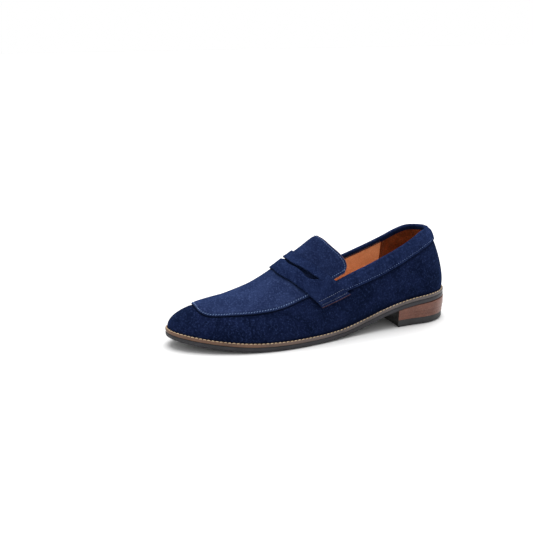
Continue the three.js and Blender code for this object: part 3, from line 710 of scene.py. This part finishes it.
def finish_tongue_piece(piece, slot, *nodes):
    """A tongue piece: its place is baked into its mesh, and the CAD parts it replaces are hidden."""
    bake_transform(piece)
    if nodes:
        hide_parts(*nodes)


def make_tongue():
    reach = TONGUE_REACH * (2 * close_spaced(90, 100) - 1)
    g = np.abs(reach)[:, None]
    side = np.where(reach < 0, -1, 1)[:, None]
    back = tongue_rear(g)
    front = strap_rear(g) + 0.018 * (1 - smoothstep(g, 0.50, TONGUE_REACH))
    c = back + (front - back) * close_spaced(28, 28)
    g = g + 0 * c
    side = side + 0 * c
    flat = over(c, 1 - g, side, TONGUE_TOP - 0.05)
    outline = np.concatenate([flat[0, ::-1], flat[:, 0], flat[-1]])
    edge = edge_distance(flat, outline)
    height = TONGUE_TOP - round_over(edge, 0.55) - stitch_groove(edge, TONGUE_SEAM, 0.3, 0.6)
    height += 0.18 * wobble(flat, 0.012, 5.0) * smoothstep(edge, 2, 8)
    near_tip = 1 - smoothstep(edge_distance(flat, flat[:, 0]), 0, 7)
    droop = 1.6 * near_tip ** 2 * (1 - smoothstep(g, 0.1, 0.35))
    height -= droop
    masks = {"edge": np.exp(-((edge / 0.45) ** 2))}
    under = over(c, 1 - g, side, TONGUE_UNDER - droop)
    piece = skin("tongue", over(c, 1 - g, side, height), under, tongue_suede, masks)
    finish_tongue_piece(piece, "suede_navy_light", "tongue")
    backing = over(c, 1 - g, side, BACKING_TOP - round_over(edge, 0.5) - droop)
    piece = skin("tongue_lining", backing, over(c, 1 - g, side, BACKING_UNDER - droop), tan_leather)
    finish_tongue_piece(piece, "lining_tan", "tongue_lining")


def leather(name, deep, body, bright, roughness, grain_scale=420.0, breast_shade_colour=None):
    """Smooth leather: cloudy dye, fine pores and soft creases, and a near-black colour where the mask says
    so, painted shade for a heel's breast.
    """
    material, nodes, links, shader = new_material(
        name, roughness=roughness, Specular_IOR_Level=0.4)
    place = nodes.new("ShaderNodeTexCoord").outputs["Object"]
    cloud = spread(nodes, links, add_noise(nodes, links, place, 38.0, 4.0, 0.6, 0.5), 0.3, 0.7)
    pores = nodes.new("ShaderNodeTexVoronoi")
    pores.feature = "DISTANCE_TO_EDGE"
    pores.inputs["Scale"].default_value = grain_scale
    links.new(place, pores.inputs["Vector"])
    grain = spread(nodes, links, pores.outputs["Distance"], 0.0, 0.25)
    fine = add_noise(nodes, links, place, grain_scale * 1.7, 3.0, 0.6)
    colour = mix_colours(nodes, links, cloud, deep, body)
    streak = spread(nodes, links, fine, 0.42, 0.75)
    colour = mix_colours(nodes, links, math_node(nodes, links, "MULTIPLY", streak, 0.5), colour, bright)
    hollow = math_node(nodes, links, "MULTIPLY_ADD", grain, -0.35, 0.35)
    colour = mix_colours(nodes, links, hollow, colour, deep)
    # Near-black where the breast mask is set: painted shade for a heel's breast in the shadow under the arch.
    if breast_shade_colour:
        breast_shade = nodes.new("ShaderNodeAttribute")
        breast_shade.attribute_name = "breast_shade"
        colour = mix_colours(nodes, links, breast_shade.outputs["Fac"], colour, breast_shade_colour)
    links.new(colour, shader.inputs["Base Color"])
    shine = math_node(nodes, links, "MULTIPLY_ADD", cloud, -0.12, roughness + 0.06)
    links.new(shine, shader.inputs["Roughness"])
    height = math_node(nodes, links, "MULTIPLY_ADD", fine, 0.5, grain)
    add_bump(nodes, links, shader, height, 0.00012, 0.6)
    return material


tan_leather = leather(
    "tan lining leather", (0.60, 0.255, 0.115), (0.80, 0.40, 0.20), (0.90, 0.54, 0.32), 0.36)
make_tongue()

# ---------------------------------------------------------------------- linings
# Smooth tan calf inside the vamp and both quarters, and a rougher brown piece round the heel that is
# lapped over them and sewn with two rows.

LINING_UNDER = -1.0
HEEL_LINING_TOP, HEEL_LINING_UNDER = -0.9, -1.6
HEEL_LINING_END = 0.165
LINING_FOOT = 0.012
brown_lining = suede(
    "brown heel lining", (0.11, 0.024, 0.006), (0.20, 0.050, 0.013), (0.30, 0.090, 0.030),
    patch_scale=70.0, sheen=0.15, sheen_tint=(1.0, 0.75, 0.55, 1))


def lining_top(c):
    return topline(c) - 0.03


def heel_lining_end(v):
    """The heel lining's front edges slope forward towards the sole."""
    return HEEL_LINING_END + 0.075 * (0.45 - v)


def make_lining(name, turns, top, under, material, slot, sway=0.15):
    c, side = on_turn(turns)
    up = close_spaced(26, 60)[None, :]
    v = LINING_FOOT + (lining_top(c) - LINING_FOOT) * up
    c, side = c + 0 * v, side + 0 * v
    flat = over(c, v, side, 0.0)
    inside = under + sway * wobble(flat, 0.02, 7.0) * (1 - smoothstep(v, 0.3, 0.36))
    piece = skin(name, over(c, v, side, top), over(c, v, side, inside), material)
    finish_piece(piece, slot, name)


def quarter_turns(side):
    up = close_spaced(26, 60)[None, :]
    start = turn_at(heel_lining_end(0.38 * up) - 0.012)
    front = turn_at(under_strap(1 - np.clip(0.38 * up, 0.0, 1)) - 0.006)
    along = np.linspace(0, 1, 90)[:, None]
    turns = start + (front - start) * along
    return turns if side > 0 else 2 - turns


for name, way in (("lining_outer", 1), ("lining_inner", -1)):
    make_lining(name, quarter_turns(way), 0.0, LINING_UNDER, tan_leather, "lining_tan")
heel_end = turn_at(heel_lining_end(0.42 * close_spaced(26, 60)))[None, :]
heel_turns = heel_end * (2 * close_spaced(70, 130) - 1)[:, None]
make_lining(
    "heel_lining", heel_turns, HEEL_LINING_TOP, HEEL_LINING_UNDER, brown_lining, "lining_brown", sway=0.1)


def make_vamp_lining():
    up = np.linspace(LINING_FOOT, 1, 40)
    start = turn_at(under_strap(1 - up) + 0.004)
    along = np.linspace(0, 1, 50)
    outer = start[None, :] + (1 - start[None, :]) * along[:, None]
    turns = np.concatenate([outer, 2 - outer[-2::-1]])
    c, side = on_turn(turns)
    v = up[None, :] + 0 * c
    under = over(c, v, side, LINING_UNDER)
    piece = skin("vamp_lining", over(c, v, side, 0.0), under, tan_leather, joined=True)
    finish_piece(piece, "lining_tan", "vamp_lining")


make_vamp_lining()

# ---------------------------------------------------------------------- inside the shoe
# Parts that a finished shoe hides: insole board with its sewn rib, cork filler, steel shank, heel pad,
# toe puff, heel counter and the nails that hold the heel on.


def inner_material(name, deep, body, bright, roughness, scale, metallic=0.0):
    """A raw material with grains or fibres in it."""
    material, nodes, links, shader = new_material(name, roughness=roughness, Metallic=metallic)
    place = nodes.new("ShaderNodeTexCoord").outputs["Object"]
    grains = nodes.new("ShaderNodeTexVoronoi")
    grains.inputs["Scale"].default_value = scale
    links.new(place, grains.inputs["Vector"])
    fine = add_noise(nodes, links, place, scale * 2.5, 3.0, 0.6)
    colour = mix_colours(nodes, links, spread(nodes, links, fine, 0.3, 0.7), deep, body)
    fleck = spread(nodes, links, grains.outputs["Distance"], 0.5, 0.1)
    colour = mix_colours(nodes, links, math_node(nodes, links, "MULTIPLY", fleck, 0.4), colour, bright)
    links.new(colour, shader.inputs["Base Color"])
    add_bump(nodes, links, shader, fine, 0.0003, 0.5)
    return material


board = inner_material(
    "insole board", (0.30, 0.20, 0.11), (0.42, 0.29, 0.17), (0.55, 0.42, 0.28), 0.85, 500.0)
cork = inner_material("cork", (0.20, 0.11, 0.05), (0.38, 0.24, 0.12), (0.55, 0.38, 0.2), 0.95, 350.0)
stiffener = inner_material(
    "stiffener", (0.32, 0.26, 0.18), (0.45, 0.38, 0.28), (0.6, 0.52, 0.42), 0.9, 600.0)
steel = inner_material(
    "brushed steel", (0.30, 0.31, 0.32), (0.42, 0.43, 0.44), (0.6, 0.6, 0.6), 0.38, 900.0, 1.0)
nails = [f"heel_nail_{k}" for k in range(1, 6)]
for material, names in (
        (board, ["insole", "insole_rib"]), (cork, ["cork_filler", "heel_pad"]),
        (stiffener, ["toe_puff", "heel_counter"]), (steel, ["shank", *nails])):
    for name in names:
        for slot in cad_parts[name].material_slots:
            slot.material = material

# ---------------------------------------------------------------------- sole and welt
# A dark outsole with a stitched welt on top of it. The welt's edge is burnished brown towards the toe,
# and its thick cream thread lies slantwise along the seam. Inside, the tan sock liner covers the insole.

SOLE_OVERHANG = 5.0


def sole_ring(overhang, height, turns):
    """Points round the sole's outline at an overhang and a height above the sole's underside."""
    c, side = on_turn(turns)
    x, s = feather_edge(c, side)
    step = 1e-4
    x0, s0 = feather_edge(np.maximum(c - step, 0), side)
    x1, s1 = feather_edge(np.minimum(c + step, 1), side)
    out = np.stack([(s1 - s0) * side, (x0 - x1) * side], -1)
    at_heel, at_toe = (c < 1e-6)[:, None], (c > 1 - 1e-6)[:, None]
    out = np.where(at_heel, (0, -1), np.where(at_toe, (0, 1), out))
    out = unit(out) * np.reshape(overhang, (-1, 1))
    low = sole_underside(s + out[:, 1]) + height
    return to_frame(np.stack([x + out[:, 0], s + out[:, 1], low], -1))


def towards_middle(ring, fraction):
    """A ring drawn in from both sides towards the sole's middle line."""
    across = np.roll(ring[::-1], 1, axis=0)
    return ring + (across - ring) * 0.5 * fraction


def ring_mesh(name, rings, material, slot, endless=False):
    """Closed mesh through a stack of rings, filled in to the middle line or closed on itself."""
    if not endless:
        below = [towards_middle(rings[0], fraction) for fraction in (1, 0.5)]
        above = [towards_middle(rings[-1], fraction) for fraction in (0.5, 1)]
        rings = below + rings + above
    count, size = len(rings), len(rings[0])
    faces = []
    for row in range(count if endless else count - 1):
        low, high = row * size, (row + 1) % count * size
        for k in range(size):
            after = (k + 1) % size
            faces.append((low + k, low + after, high + after, high + k))
    piece = finish_mesh(name, np.concatenate(rings), faces, material)
    finish_piece(piece, slot, name)


SOLE_TURNS = np.linspace(0, 2, 401)[:-1]
outsole_leather = leather(
    "dark outsole", (0.006, 0.006, 0.008), (0.013, 0.012, 0.017), (0.034, 0.031, 0.040), 0.5)
outsole_profile = [
    (-14, 0.5), (-13, 0.0), (2.6, 0.0), (3.9, 0.25), (4.7, 0.8), (SOLE_OVERHANG, 1.6), (SOLE_OVERHANG, 3.4),
    (4.85, 4.2), (4.5, 4.7), (-10, 4.7)]
outsole_rings = [sole_ring(out, up, SOLE_TURNS) for out, up in outsole_profile]
ring_mesh("outsole", outsole_rings, outsole_leather, "outsole_dark")


def welt_material():
    """Burnished edge: dark grey at the heel and waist, browner towards the toe."""
    material, nodes, links, shader = new_material("burnished welt", roughness=0.5, Specular_IOR_Level=0.45)
    place = nodes.new("ShaderNodeTexCoord").outputs["Object"]
    cloud = spread(nodes, links, add_noise(nodes, links, place, 30.0, 4.0, 0.6, 0.4), 0.3, 0.7)
    fine = add_noise(nodes, links, place, 700.0, 3.0, 0.65)
    parts = nodes.new("ShaderNodeSeparateXYZ")
    links.new(place, parts.inputs[0])
    towards_toe = spread(nodes, links, parts.outputs["Y"], 0.02, -0.11)
    grey = mix_colours(nodes, links, cloud, (0.040, 0.032, 0.032), (0.092, 0.074, 0.070))
    brown = mix_colours(nodes, links, cloud, (0.060, 0.026, 0.012), (0.125, 0.058, 0.028))
    colour = mix_colours(nodes, links, towards_toe, grey, brown)
    speck = math_node(nodes, links, "MULTIPLY", spread(nodes, links, fine, 0.5, 0.75), 0.45)
    colour = mix_colours(nodes, links, speck, colour, (0.15, 0.11, 0.095))
    links.new(colour, shader.inputs["Base Color"])
    links.new(math_node(nodes, links, "MULTIPLY_ADD", cloud, 0.2, 0.38), shader.inputs["Roughness"])
    add_bump(nodes, links, shader, fine, 0.00025, 0.5)
    return material


WELT_TOP = 8.15
welt_profile = [
    (-3.6, 5.0), (4.5, 5.0), (4.85, 5.3), (SOLE_OVERHANG, 5.9), (SOLE_OVERHANG, 7.4), (4.9, 7.95),
    (4.75, WELT_TOP), (4.6, WELT_TOP), (4.35, 7.9), (3.9, 7.7), (3.4, 7.7), (3.1, 7.9), (2.6, WELT_TOP),
    (-3.6, 8.2)]
welt_rings = [sole_ring(out, up, SOLE_TURNS) for out, up in welt_profile]
ring_mesh("welt", welt_rings, welt_material(), "welt_leather", endless=True)

SOCK_TURNS = np.linspace(0, 2, 201)[:-1]
SOCK_HEIGHT, HEEL_PAD_RISE = 11.1, 1.8


def sock_ring(overhang, rise):
    """The sock liner's outline: its rear lies higher, on the heel pad."""
    ring = sole_ring(overhang, 0, SOCK_TURNS)
    s = MIDDLE_S - ring[:, 1] / MM
    on_pad = 1 - smoothstep(s, 78, 98)
    ring[:, 2] = (sole_underside(s) + SOCK_HEIGHT + HEEL_PAD_RISE * on_pad + rise) * MM
    return ring


sock_profile = [(-2.2, 0.0), (-1.9, 0.3), (-1.9, 0.8), (-2.2, 1.1), (-2.8, 1.2), (-5.0, 1.2)]
ring_mesh("sock_liner", [sock_ring(out, up) for out, up in sock_profile], tan_leather, "lining_tan")

# ---------------------------------------------------------------------- heel
# Three lifts of reddish-brown leather and a black rubber top lift, pressed together and trimmed as
# one block. The breast at the front is cut across and slightly hollow, and coloured near-black: painted shade
# for the shadow under the arch.

HEEL_BREAST = 62.0
HEEL_FLARE = 1.5
HEEL_SPRING = 1.8
BREAST_RAKE, BREAST_HOLLOW = 0.4, 0.0012
BREAST_POINTS = 20
# Both heel materials turn near-black on the breast: painted shade.
heel_leather = leather(
    "stacked heel leather", (0.075, 0.021, 0.011), (0.150, 0.052, 0.031), (0.23, 0.105, 0.070), 0.4, 500.0,
    breast_shade_colour=(0.004, 0.003, 0.003))
top_rubber = leather(
    "heel rubber", (0.008, 0.008, 0.009), (0.016, 0.016, 0.018), (0.034, 0.033, 0.035), 0.55, 800.0,
    breast_shade_colour=(0.002, 0.002, 0.002))


def heel_ring(overhang, level):
    """Round the heel at an overhang, then across its breast. The level is a height at each s."""
    turn = turn_at(HEEL_BREAST / LAST_LENGTH)
    turns = np.linspace(turn, -turn, 90)
    flare = HEEL_FLARE * (1 - smoothstep(on_turn(turns)[0] * LAST_LENGTH, 5, 50))
    back = sole_ring(overhang + flare, 0, turns)
    back = back[back[:, 1] > (MIDDLE_S - HEEL_BREAST) * MM]
    breast = (MIDDLE_S - HEEL_BREAST - (overhang - 4) * BREAST_RAKE) * MM
    start, end = back[-1], back[0]
    across = np.linspace(0.012, 0.988, BREAST_POINTS)[:, None]
    line = start + (end - start) * across
    line[:, 1] = breast + BREAST_HOLLOW * np.sin(np.pi * across[:, 0])
    ring = np.concatenate([back, line])
    ring[:, 2] = level(MIDDLE_S - ring[:, 1] / MM) * MM
    return ring


def heel_lift(name, low, high, overhang, material, slot, spring=0.0):
    """One lift between two heights, of which the upper may be a function of s, its edges eased."""
    top = high if callable(high) else (lambda s: high + 0 * s)

    def bottom(s):
        return low + spring * (1 - smoothstep(s, -6, 34))

    eased = ((-0.2, 0.0), (-0.05, 0.07), (0.0, 0.2))
    rings = [heel_ring(overhang + out, lambda s, up=up: bottom(s) + up) for out, up in eased]
    rings += [heel_ring(overhang + out, lambda s, down=down: top(s) - down) for out, down in eased[::-1]]
    size = len(rings[0])
    faces = [
        (row * size + k, row * size + (k + 1) % size, (row + 1) * size + (k + 1) % size, (row + 1) * size + k)
        for row in range(len(rings) - 1) for k in range(size)]
    faces += [tuple(range(size)), tuple(range((len(rings) - 1) * size, len(rings) * size))]
    # The breast's points get the mask for the near-black painted shade.
    breast_shade = np.tile(np.arange(size) >= size - BREAST_POINTS, len(rings))
    piece = finish_mesh(name, np.concatenate(rings), faces, material, {"breast_shade": breast_shade})
    finish_piece(piece, slot, name)


heel_lift("top_lift", 0.0, 7.2, 2.6, top_rubber, "heel_rubber", HEEL_SPRING)
heel_lift("heel_lift_1", 7.3, 11.1, 3.0, heel_leather, "heel_stack")
heel_lift("heel_lift_2", 11.2, 14.6, 3.4, heel_leather, "heel_stack")
heel_lift("heel_lift_3", 14.7, lambda s: sole_underside(s) - 0.1, 3.9, heel_leather, "heel_stack")

# ---------------------------------------------------------------------- stitching
# Every seam is lockstitch, laid by one rule: short arched stitches at an even pitch along a line, each
# dipping into its hole at both ends. The welt's thread is thick and lies slantwise.


def make_stitch_tree():
    """One arched stitch, repeated along a seam, turned to lie along it with its arch pointing up."""
    tree = bpy.data.node_groups.new("sewn_row", "GeometryNodeTree")
    face = tree.interface
    face.new_socket("Seam", in_out="INPUT", socket_type="NodeSocketGeometry")
    for name, value in (
            ("Pitch", 0.0023), ("Length", 0.0014), ("Width", 0.00045), ("Rise", 0.0003), ("Lean", 0.0),
            ("Unevenness", 0.04)):
        face.new_socket(name, in_out="INPUT", socket_type="NodeSocketFloat").default_value = value
    face.new_socket("Seed", in_out="INPUT", socket_type="NodeSocketInt").default_value = 3
    face.new_socket("Thread", in_out="INPUT", socket_type="NodeSocketMaterial")
    face.new_socket("Stitches", in_out="OUTPUT", socket_type="NodeSocketGeometry")
    nodes, links = tree.nodes, tree.links
    start, end = nodes.new("NodeGroupInput"), nodes.new("NodeGroupOutput")
    seam = nodes.new("GeometryNodeMeshToCurve")
    links.new(start.outputs["Seam"], seam.inputs["Mesh"])
    spaced = nodes.new("GeometryNodeResampleCurve")
    spaced.mode = "LENGTH"
    links.new(seam.outputs["Curve"], spaced.inputs["Curve"])
    links.new(start.outputs["Pitch"], spaced.inputs["Length"])

    def scaled(value, factor):
        node = nodes.new("ShaderNodeMath")
        node.operation = "MULTIPLY"
        links.new(value, node.inputs[0])
        node.inputs[1].default_value = factor
        return node.outputs[0]

    def corner(x, z):
        node = nodes.new("ShaderNodeCombineXYZ")
        if x is not None:
            links.new(x, node.inputs["X"])
        links.new(z, node.inputs["Z"])
        return node.outputs[0]

    arch = nodes.new("GeometryNodeCurveQuadraticBezier")
    arch.inputs["Resolution"].default_value = 6
    sunk = scaled(start.outputs["Rise"], -0.9)
    links.new(corner(scaled(start.outputs["Length"], -0.5), sunk), arch.inputs["Start"])
    links.new(corner(None, scaled(start.outputs["Rise"], 1.3)), arch.inputs["Middle"])
    links.new(corner(scaled(start.outputs["Length"], 0.5), sunk), arch.inputs["End"])
    ply = nodes.new("GeometryNodeCurvePrimitiveCircle")
    ply.inputs["Resolution"].default_value = 6
    links.new(scaled(start.outputs["Width"], 0.5), ply.inputs["Radius"])
    stitch = nodes.new("GeometryNodeCurveToMesh")
    stitch.inputs["Fill Caps"].default_value = True
    links.new(arch.outputs["Curve"], stitch.inputs["Curve"])
    links.new(ply.outputs["Curve"], stitch.inputs["Profile Curve"])
    smooth = nodes.new("GeometryNodeSetShadeSmooth")
    links.new(stitch.outputs["Mesh"], smooth.inputs["Geometry"])

    tangent = nodes.new("GeometryNodeInputTangent")
    along = nodes.new("FunctionNodeAlignRotationToVector")
    along.axis = "X"
    links.new(tangent.outputs["Tangent"], along.inputs["Vector"])
    up = nodes.new("GeometryNodeInputNamedAttribute")
    up.data_type = "FLOAT_VECTOR"
    up.inputs["Name"].default_value = "up"
    upright = nodes.new("FunctionNodeAlignRotationToVector")
    upright.axis, upright.pivot_axis = "Z", "X"
    links.new(along.outputs["Rotation"], upright.inputs["Rotation"])
    links.new(up.outputs["Attribute"], upright.inputs["Vector"])
    jitter = nodes.new("FunctionNodeRandomValue")
    jitter.data_type = "FLOAT"
    links.new(scaled(start.outputs["Unevenness"], -1.0), jitter.inputs[2])
    links.new(start.outputs["Unevenness"], jitter.inputs[3])
    links.new(start.outputs["Seed"], jitter.inputs["Seed"])
    lean = nodes.new("ShaderNodeMath")
    lean.operation = "ADD"
    links.new(start.outputs["Lean"], lean.inputs[0])
    links.new(jitter.outputs[1], lean.inputs[1])
    slant = nodes.new("ShaderNodeCombineXYZ")
    links.new(lean.outputs[0], slant.inputs["Z"])
    turned = nodes.new("FunctionNodeRotateRotation")
    turned.rotation_space = "LOCAL"
    links.new(upright.outputs["Rotation"], turned.inputs["Rotation"])
    links.new(slant.outputs[0], turned.inputs["Rotate By"])
    row = nodes.new("GeometryNodeInstanceOnPoints")
    links.new(spaced.outputs["Curve"], row.inputs["Points"])
    links.new(smooth.outputs["Geometry"], row.inputs["Instance"])
    links.new(turned.outputs["Rotation"], row.inputs["Rotation"])
    real = nodes.new("GeometryNodeRealizeInstances")
    links.new(row.outputs["Instances"], real.inputs["Geometry"])
    thread = nodes.new("GeometryNodeSetMaterial")
    links.new(real.outputs["Geometry"], thread.inputs["Geometry"])
    links.new(start.outputs["Thread"], thread.inputs["Material"])
    links.new(thread.outputs["Geometry"], end.inputs["Stitches"])
    return tree


stitch_tree = make_stitch_tree()


def thread_material(name, deep, bright):
    """Waxed twisted thread, dirtier in places."""
    material, nodes, links, shader = new_material(
        name, roughness=0.6, Specular_IOR_Level=0.35, Sheen_Weight=0.2, Sheen_Roughness=0.4)
    place = nodes.new("ShaderNodeTexCoord").outputs["Object"]
    plies = nodes.new("ShaderNodeTexWave")
    plies.bands_direction = "DIAGONAL"
    plies.inputs["Scale"].default_value = 1500.0
    plies.inputs["Distortion"].default_value = 2.0
    links.new(place, plies.inputs["Vector"])
    dirt = spread(nodes, links, add_noise(nodes, links, place, 160.0, 3.0, 0.6), 0.3, 0.7)
    shade = math_node(nodes, links, "MULTIPLY", plies.outputs["Fac"], 0.5)
    shade = math_node(nodes, links, "MULTIPLY_ADD", dirt, 0.5, shade)
    links.new(mix_colours(nodes, links, shade, deep, bright), shader.inputs["Base Color"])
    add_bump(nodes, links, shader, plies.outputs["Fac"], 0.0001, 0.6)
    return material


def sew(name, seams, material, slot, *nodes, finish=finish_piece, **sizes):
    """Stitches along seams, each of which is its points and the way up at each of them."""
    points = np.concatenate([seam for seam, _ in seams])
    ups = np.concatenate([up for _, up in seams])
    edges, first = [], 0
    for seam, _ in seams:
        edges += [(first + k, first + k + 1) for k in range(len(seam) - 1)]
        first += len(seam)
    path = bpy.data.meshes.new(name + "_seam")
    path.from_pydata([tuple(p) for p in points], edges, [])
    ways_up = path.attributes.new("up", "FLOAT_VECTOR", "POINT")
    ways_up.data.foreach_set("vector", ups.astype(np.float32).ravel())
    guide = bpy.data.objects.new(name + "_seam", path)
    bpy.context.scene.collection.objects.link(guide)
    modifier = guide.modifiers.new("sewing", "NODES")
    modifier.node_group = stitch_tree
    inputs = (item for item in stitch_tree.interface.items_tree if item.in_out == "INPUT")
    sockets = {item.name: item.identifier for item in inputs}
    modifier[sockets["Thread"]] = material
    for size, value in sizes.items():
        modifier[sockets[size]] = value
    evaluated = guide.evaluated_get(bpy.context.evaluated_depsgraph_get())
    mesh = bpy.data.meshes.new_from_object(evaluated)
    mesh.name = name
    if "up" in mesh.attributes:
        mesh.attributes.remove(mesh.attributes["up"])
    bpy.data.objects.remove(guide)
    row = bpy.data.objects.new(name, mesh)
    bpy.context.scene.collection.objects.link(row)
    finish(row, slot, *nodes)


def seam_over(c, v, side, height):
    """A seam on the upper: its points at a height over the last, and the way up there."""
    c, v, side = (np.array(a, float) for a in np.broadcast_arrays(c, v, side))
    return over(c, v, side, height), outwards(c, v, side)


blue_thread = thread_material("blue thread", (0.035, 0.065, 0.15), (0.13, 0.21, 0.40))
strap_thread = thread_material("dusky strap thread", (0.030, 0.040, 0.075), (0.12, 0.15, 0.24))
brown_thread = thread_material("brown thread", (0.10, 0.032, 0.012), (0.24, 0.10, 0.045))
cream_thread = thread_material("cream welt thread", (0.34, 0.22, 0.11), (0.72, 0.56, 0.37))

apron_start = turn_at(0.56)
c, side = on_turn(np.linspace(apron_start, 2 - apron_start, 400))
sew(
    "apron_stitching", [seam_over(c, apron_edge(c) + 0.0215, side, APRON_TOP - 0.05)],
    blue_thread, "thread_blue", "apron_stitching", Pitch=0.0026, Width=0.0006, Lean=0.6)
c, side = on_turn(np.linspace(-turn_at(0.43), turn_at(0.43), 400))
sew(
    "collar_stitching", [seam_over(c, collar_edge(c) + 0.019, side, COLLAR_TOP)],
    blue_thread, "thread_blue", "collar_stitching", Pitch=0.0027, Length=0.0012, Width=0.0005)

side_g = TONGUE_REACH - 0.026
seam_height = TONGUE_TOP - 0.05
reach = np.linspace(-1, 1, 121) * side_g
g = np.abs(reach)
tongue_seams = [seam_over(tongue_rear(g) + 0.0095, 1 - g, np.where(reach < 0, -1, 1), seam_height)]
c = np.linspace(tongue_rear(side_g) + 0.0095, strap_rear(side_g) - 0.006, 20)
tongue_seams += [seam_over(c, 1 - side_g, way, seam_height) for way in (-1, 1)]
sew(
    "tongue_stitching", tongue_seams, blue_thread, "thread_blue", "tongue_stitching",
    finish=finish_tongue_piece)

for label, way in (("outer", 1), ("inner", -1)):
    for row, inset in ((1, 0.026), (2, 0.066)):
        g = STRAP_REACH - inset
        c = np.linspace(strap_rear(g) + 0.008, strap_front(g) - 0.008, 60)
        seam = seam_over(c, 1 - g, way, STRAP_TOP - strap_settle(c, g) - 0.1)
        name = f"strap_stitching_{label}_{row}"
        sew(name, [seam], strap_thread, "thread_blue", name)

welt_seam = sole_ring(3.85, WELT_TOP, np.linspace(0, 2, 801))
straight_up = np.tile((0.0, 0.0, 1.0), (len(welt_seam), 1))
sew(
    "welt_stitching", [(welt_seam, straight_up)], cream_thread, "thread_cream", "welt_stitching",
    Pitch=0.0040, Length=0.0027, Width=0.0009, Rise=0.0004, Lean=0.30, Unevenness=0.06)

flap_seams, heel_seams = [], []
for way in (-1, 1):
    c = np.linspace(HEEL_LINING_END + 0.01, 0.46, 160)
    points, ups = seam_over(c, topline(c) - INNER_FLAP + 0.012, way, FLAP_TOP - 0.6)
    flap_seams.append((points, -ups))
    v = np.linspace(0.06, float(topline(HEEL_LINING_END)) - INNER_FLAP - 0.01, 60)
    for back in (0.006, 0.013):
        points, ups = seam_over(heel_lining_end(v) - back, v, way, HEEL_LINING_UNDER - 0.15)
        heel_seams.append((points, -ups))
sew("topline_stitching", flap_seams, brown_thread, "lining_brown")
sew("heel_lining_stitching", heel_seams, brown_thread, "lining_brown")
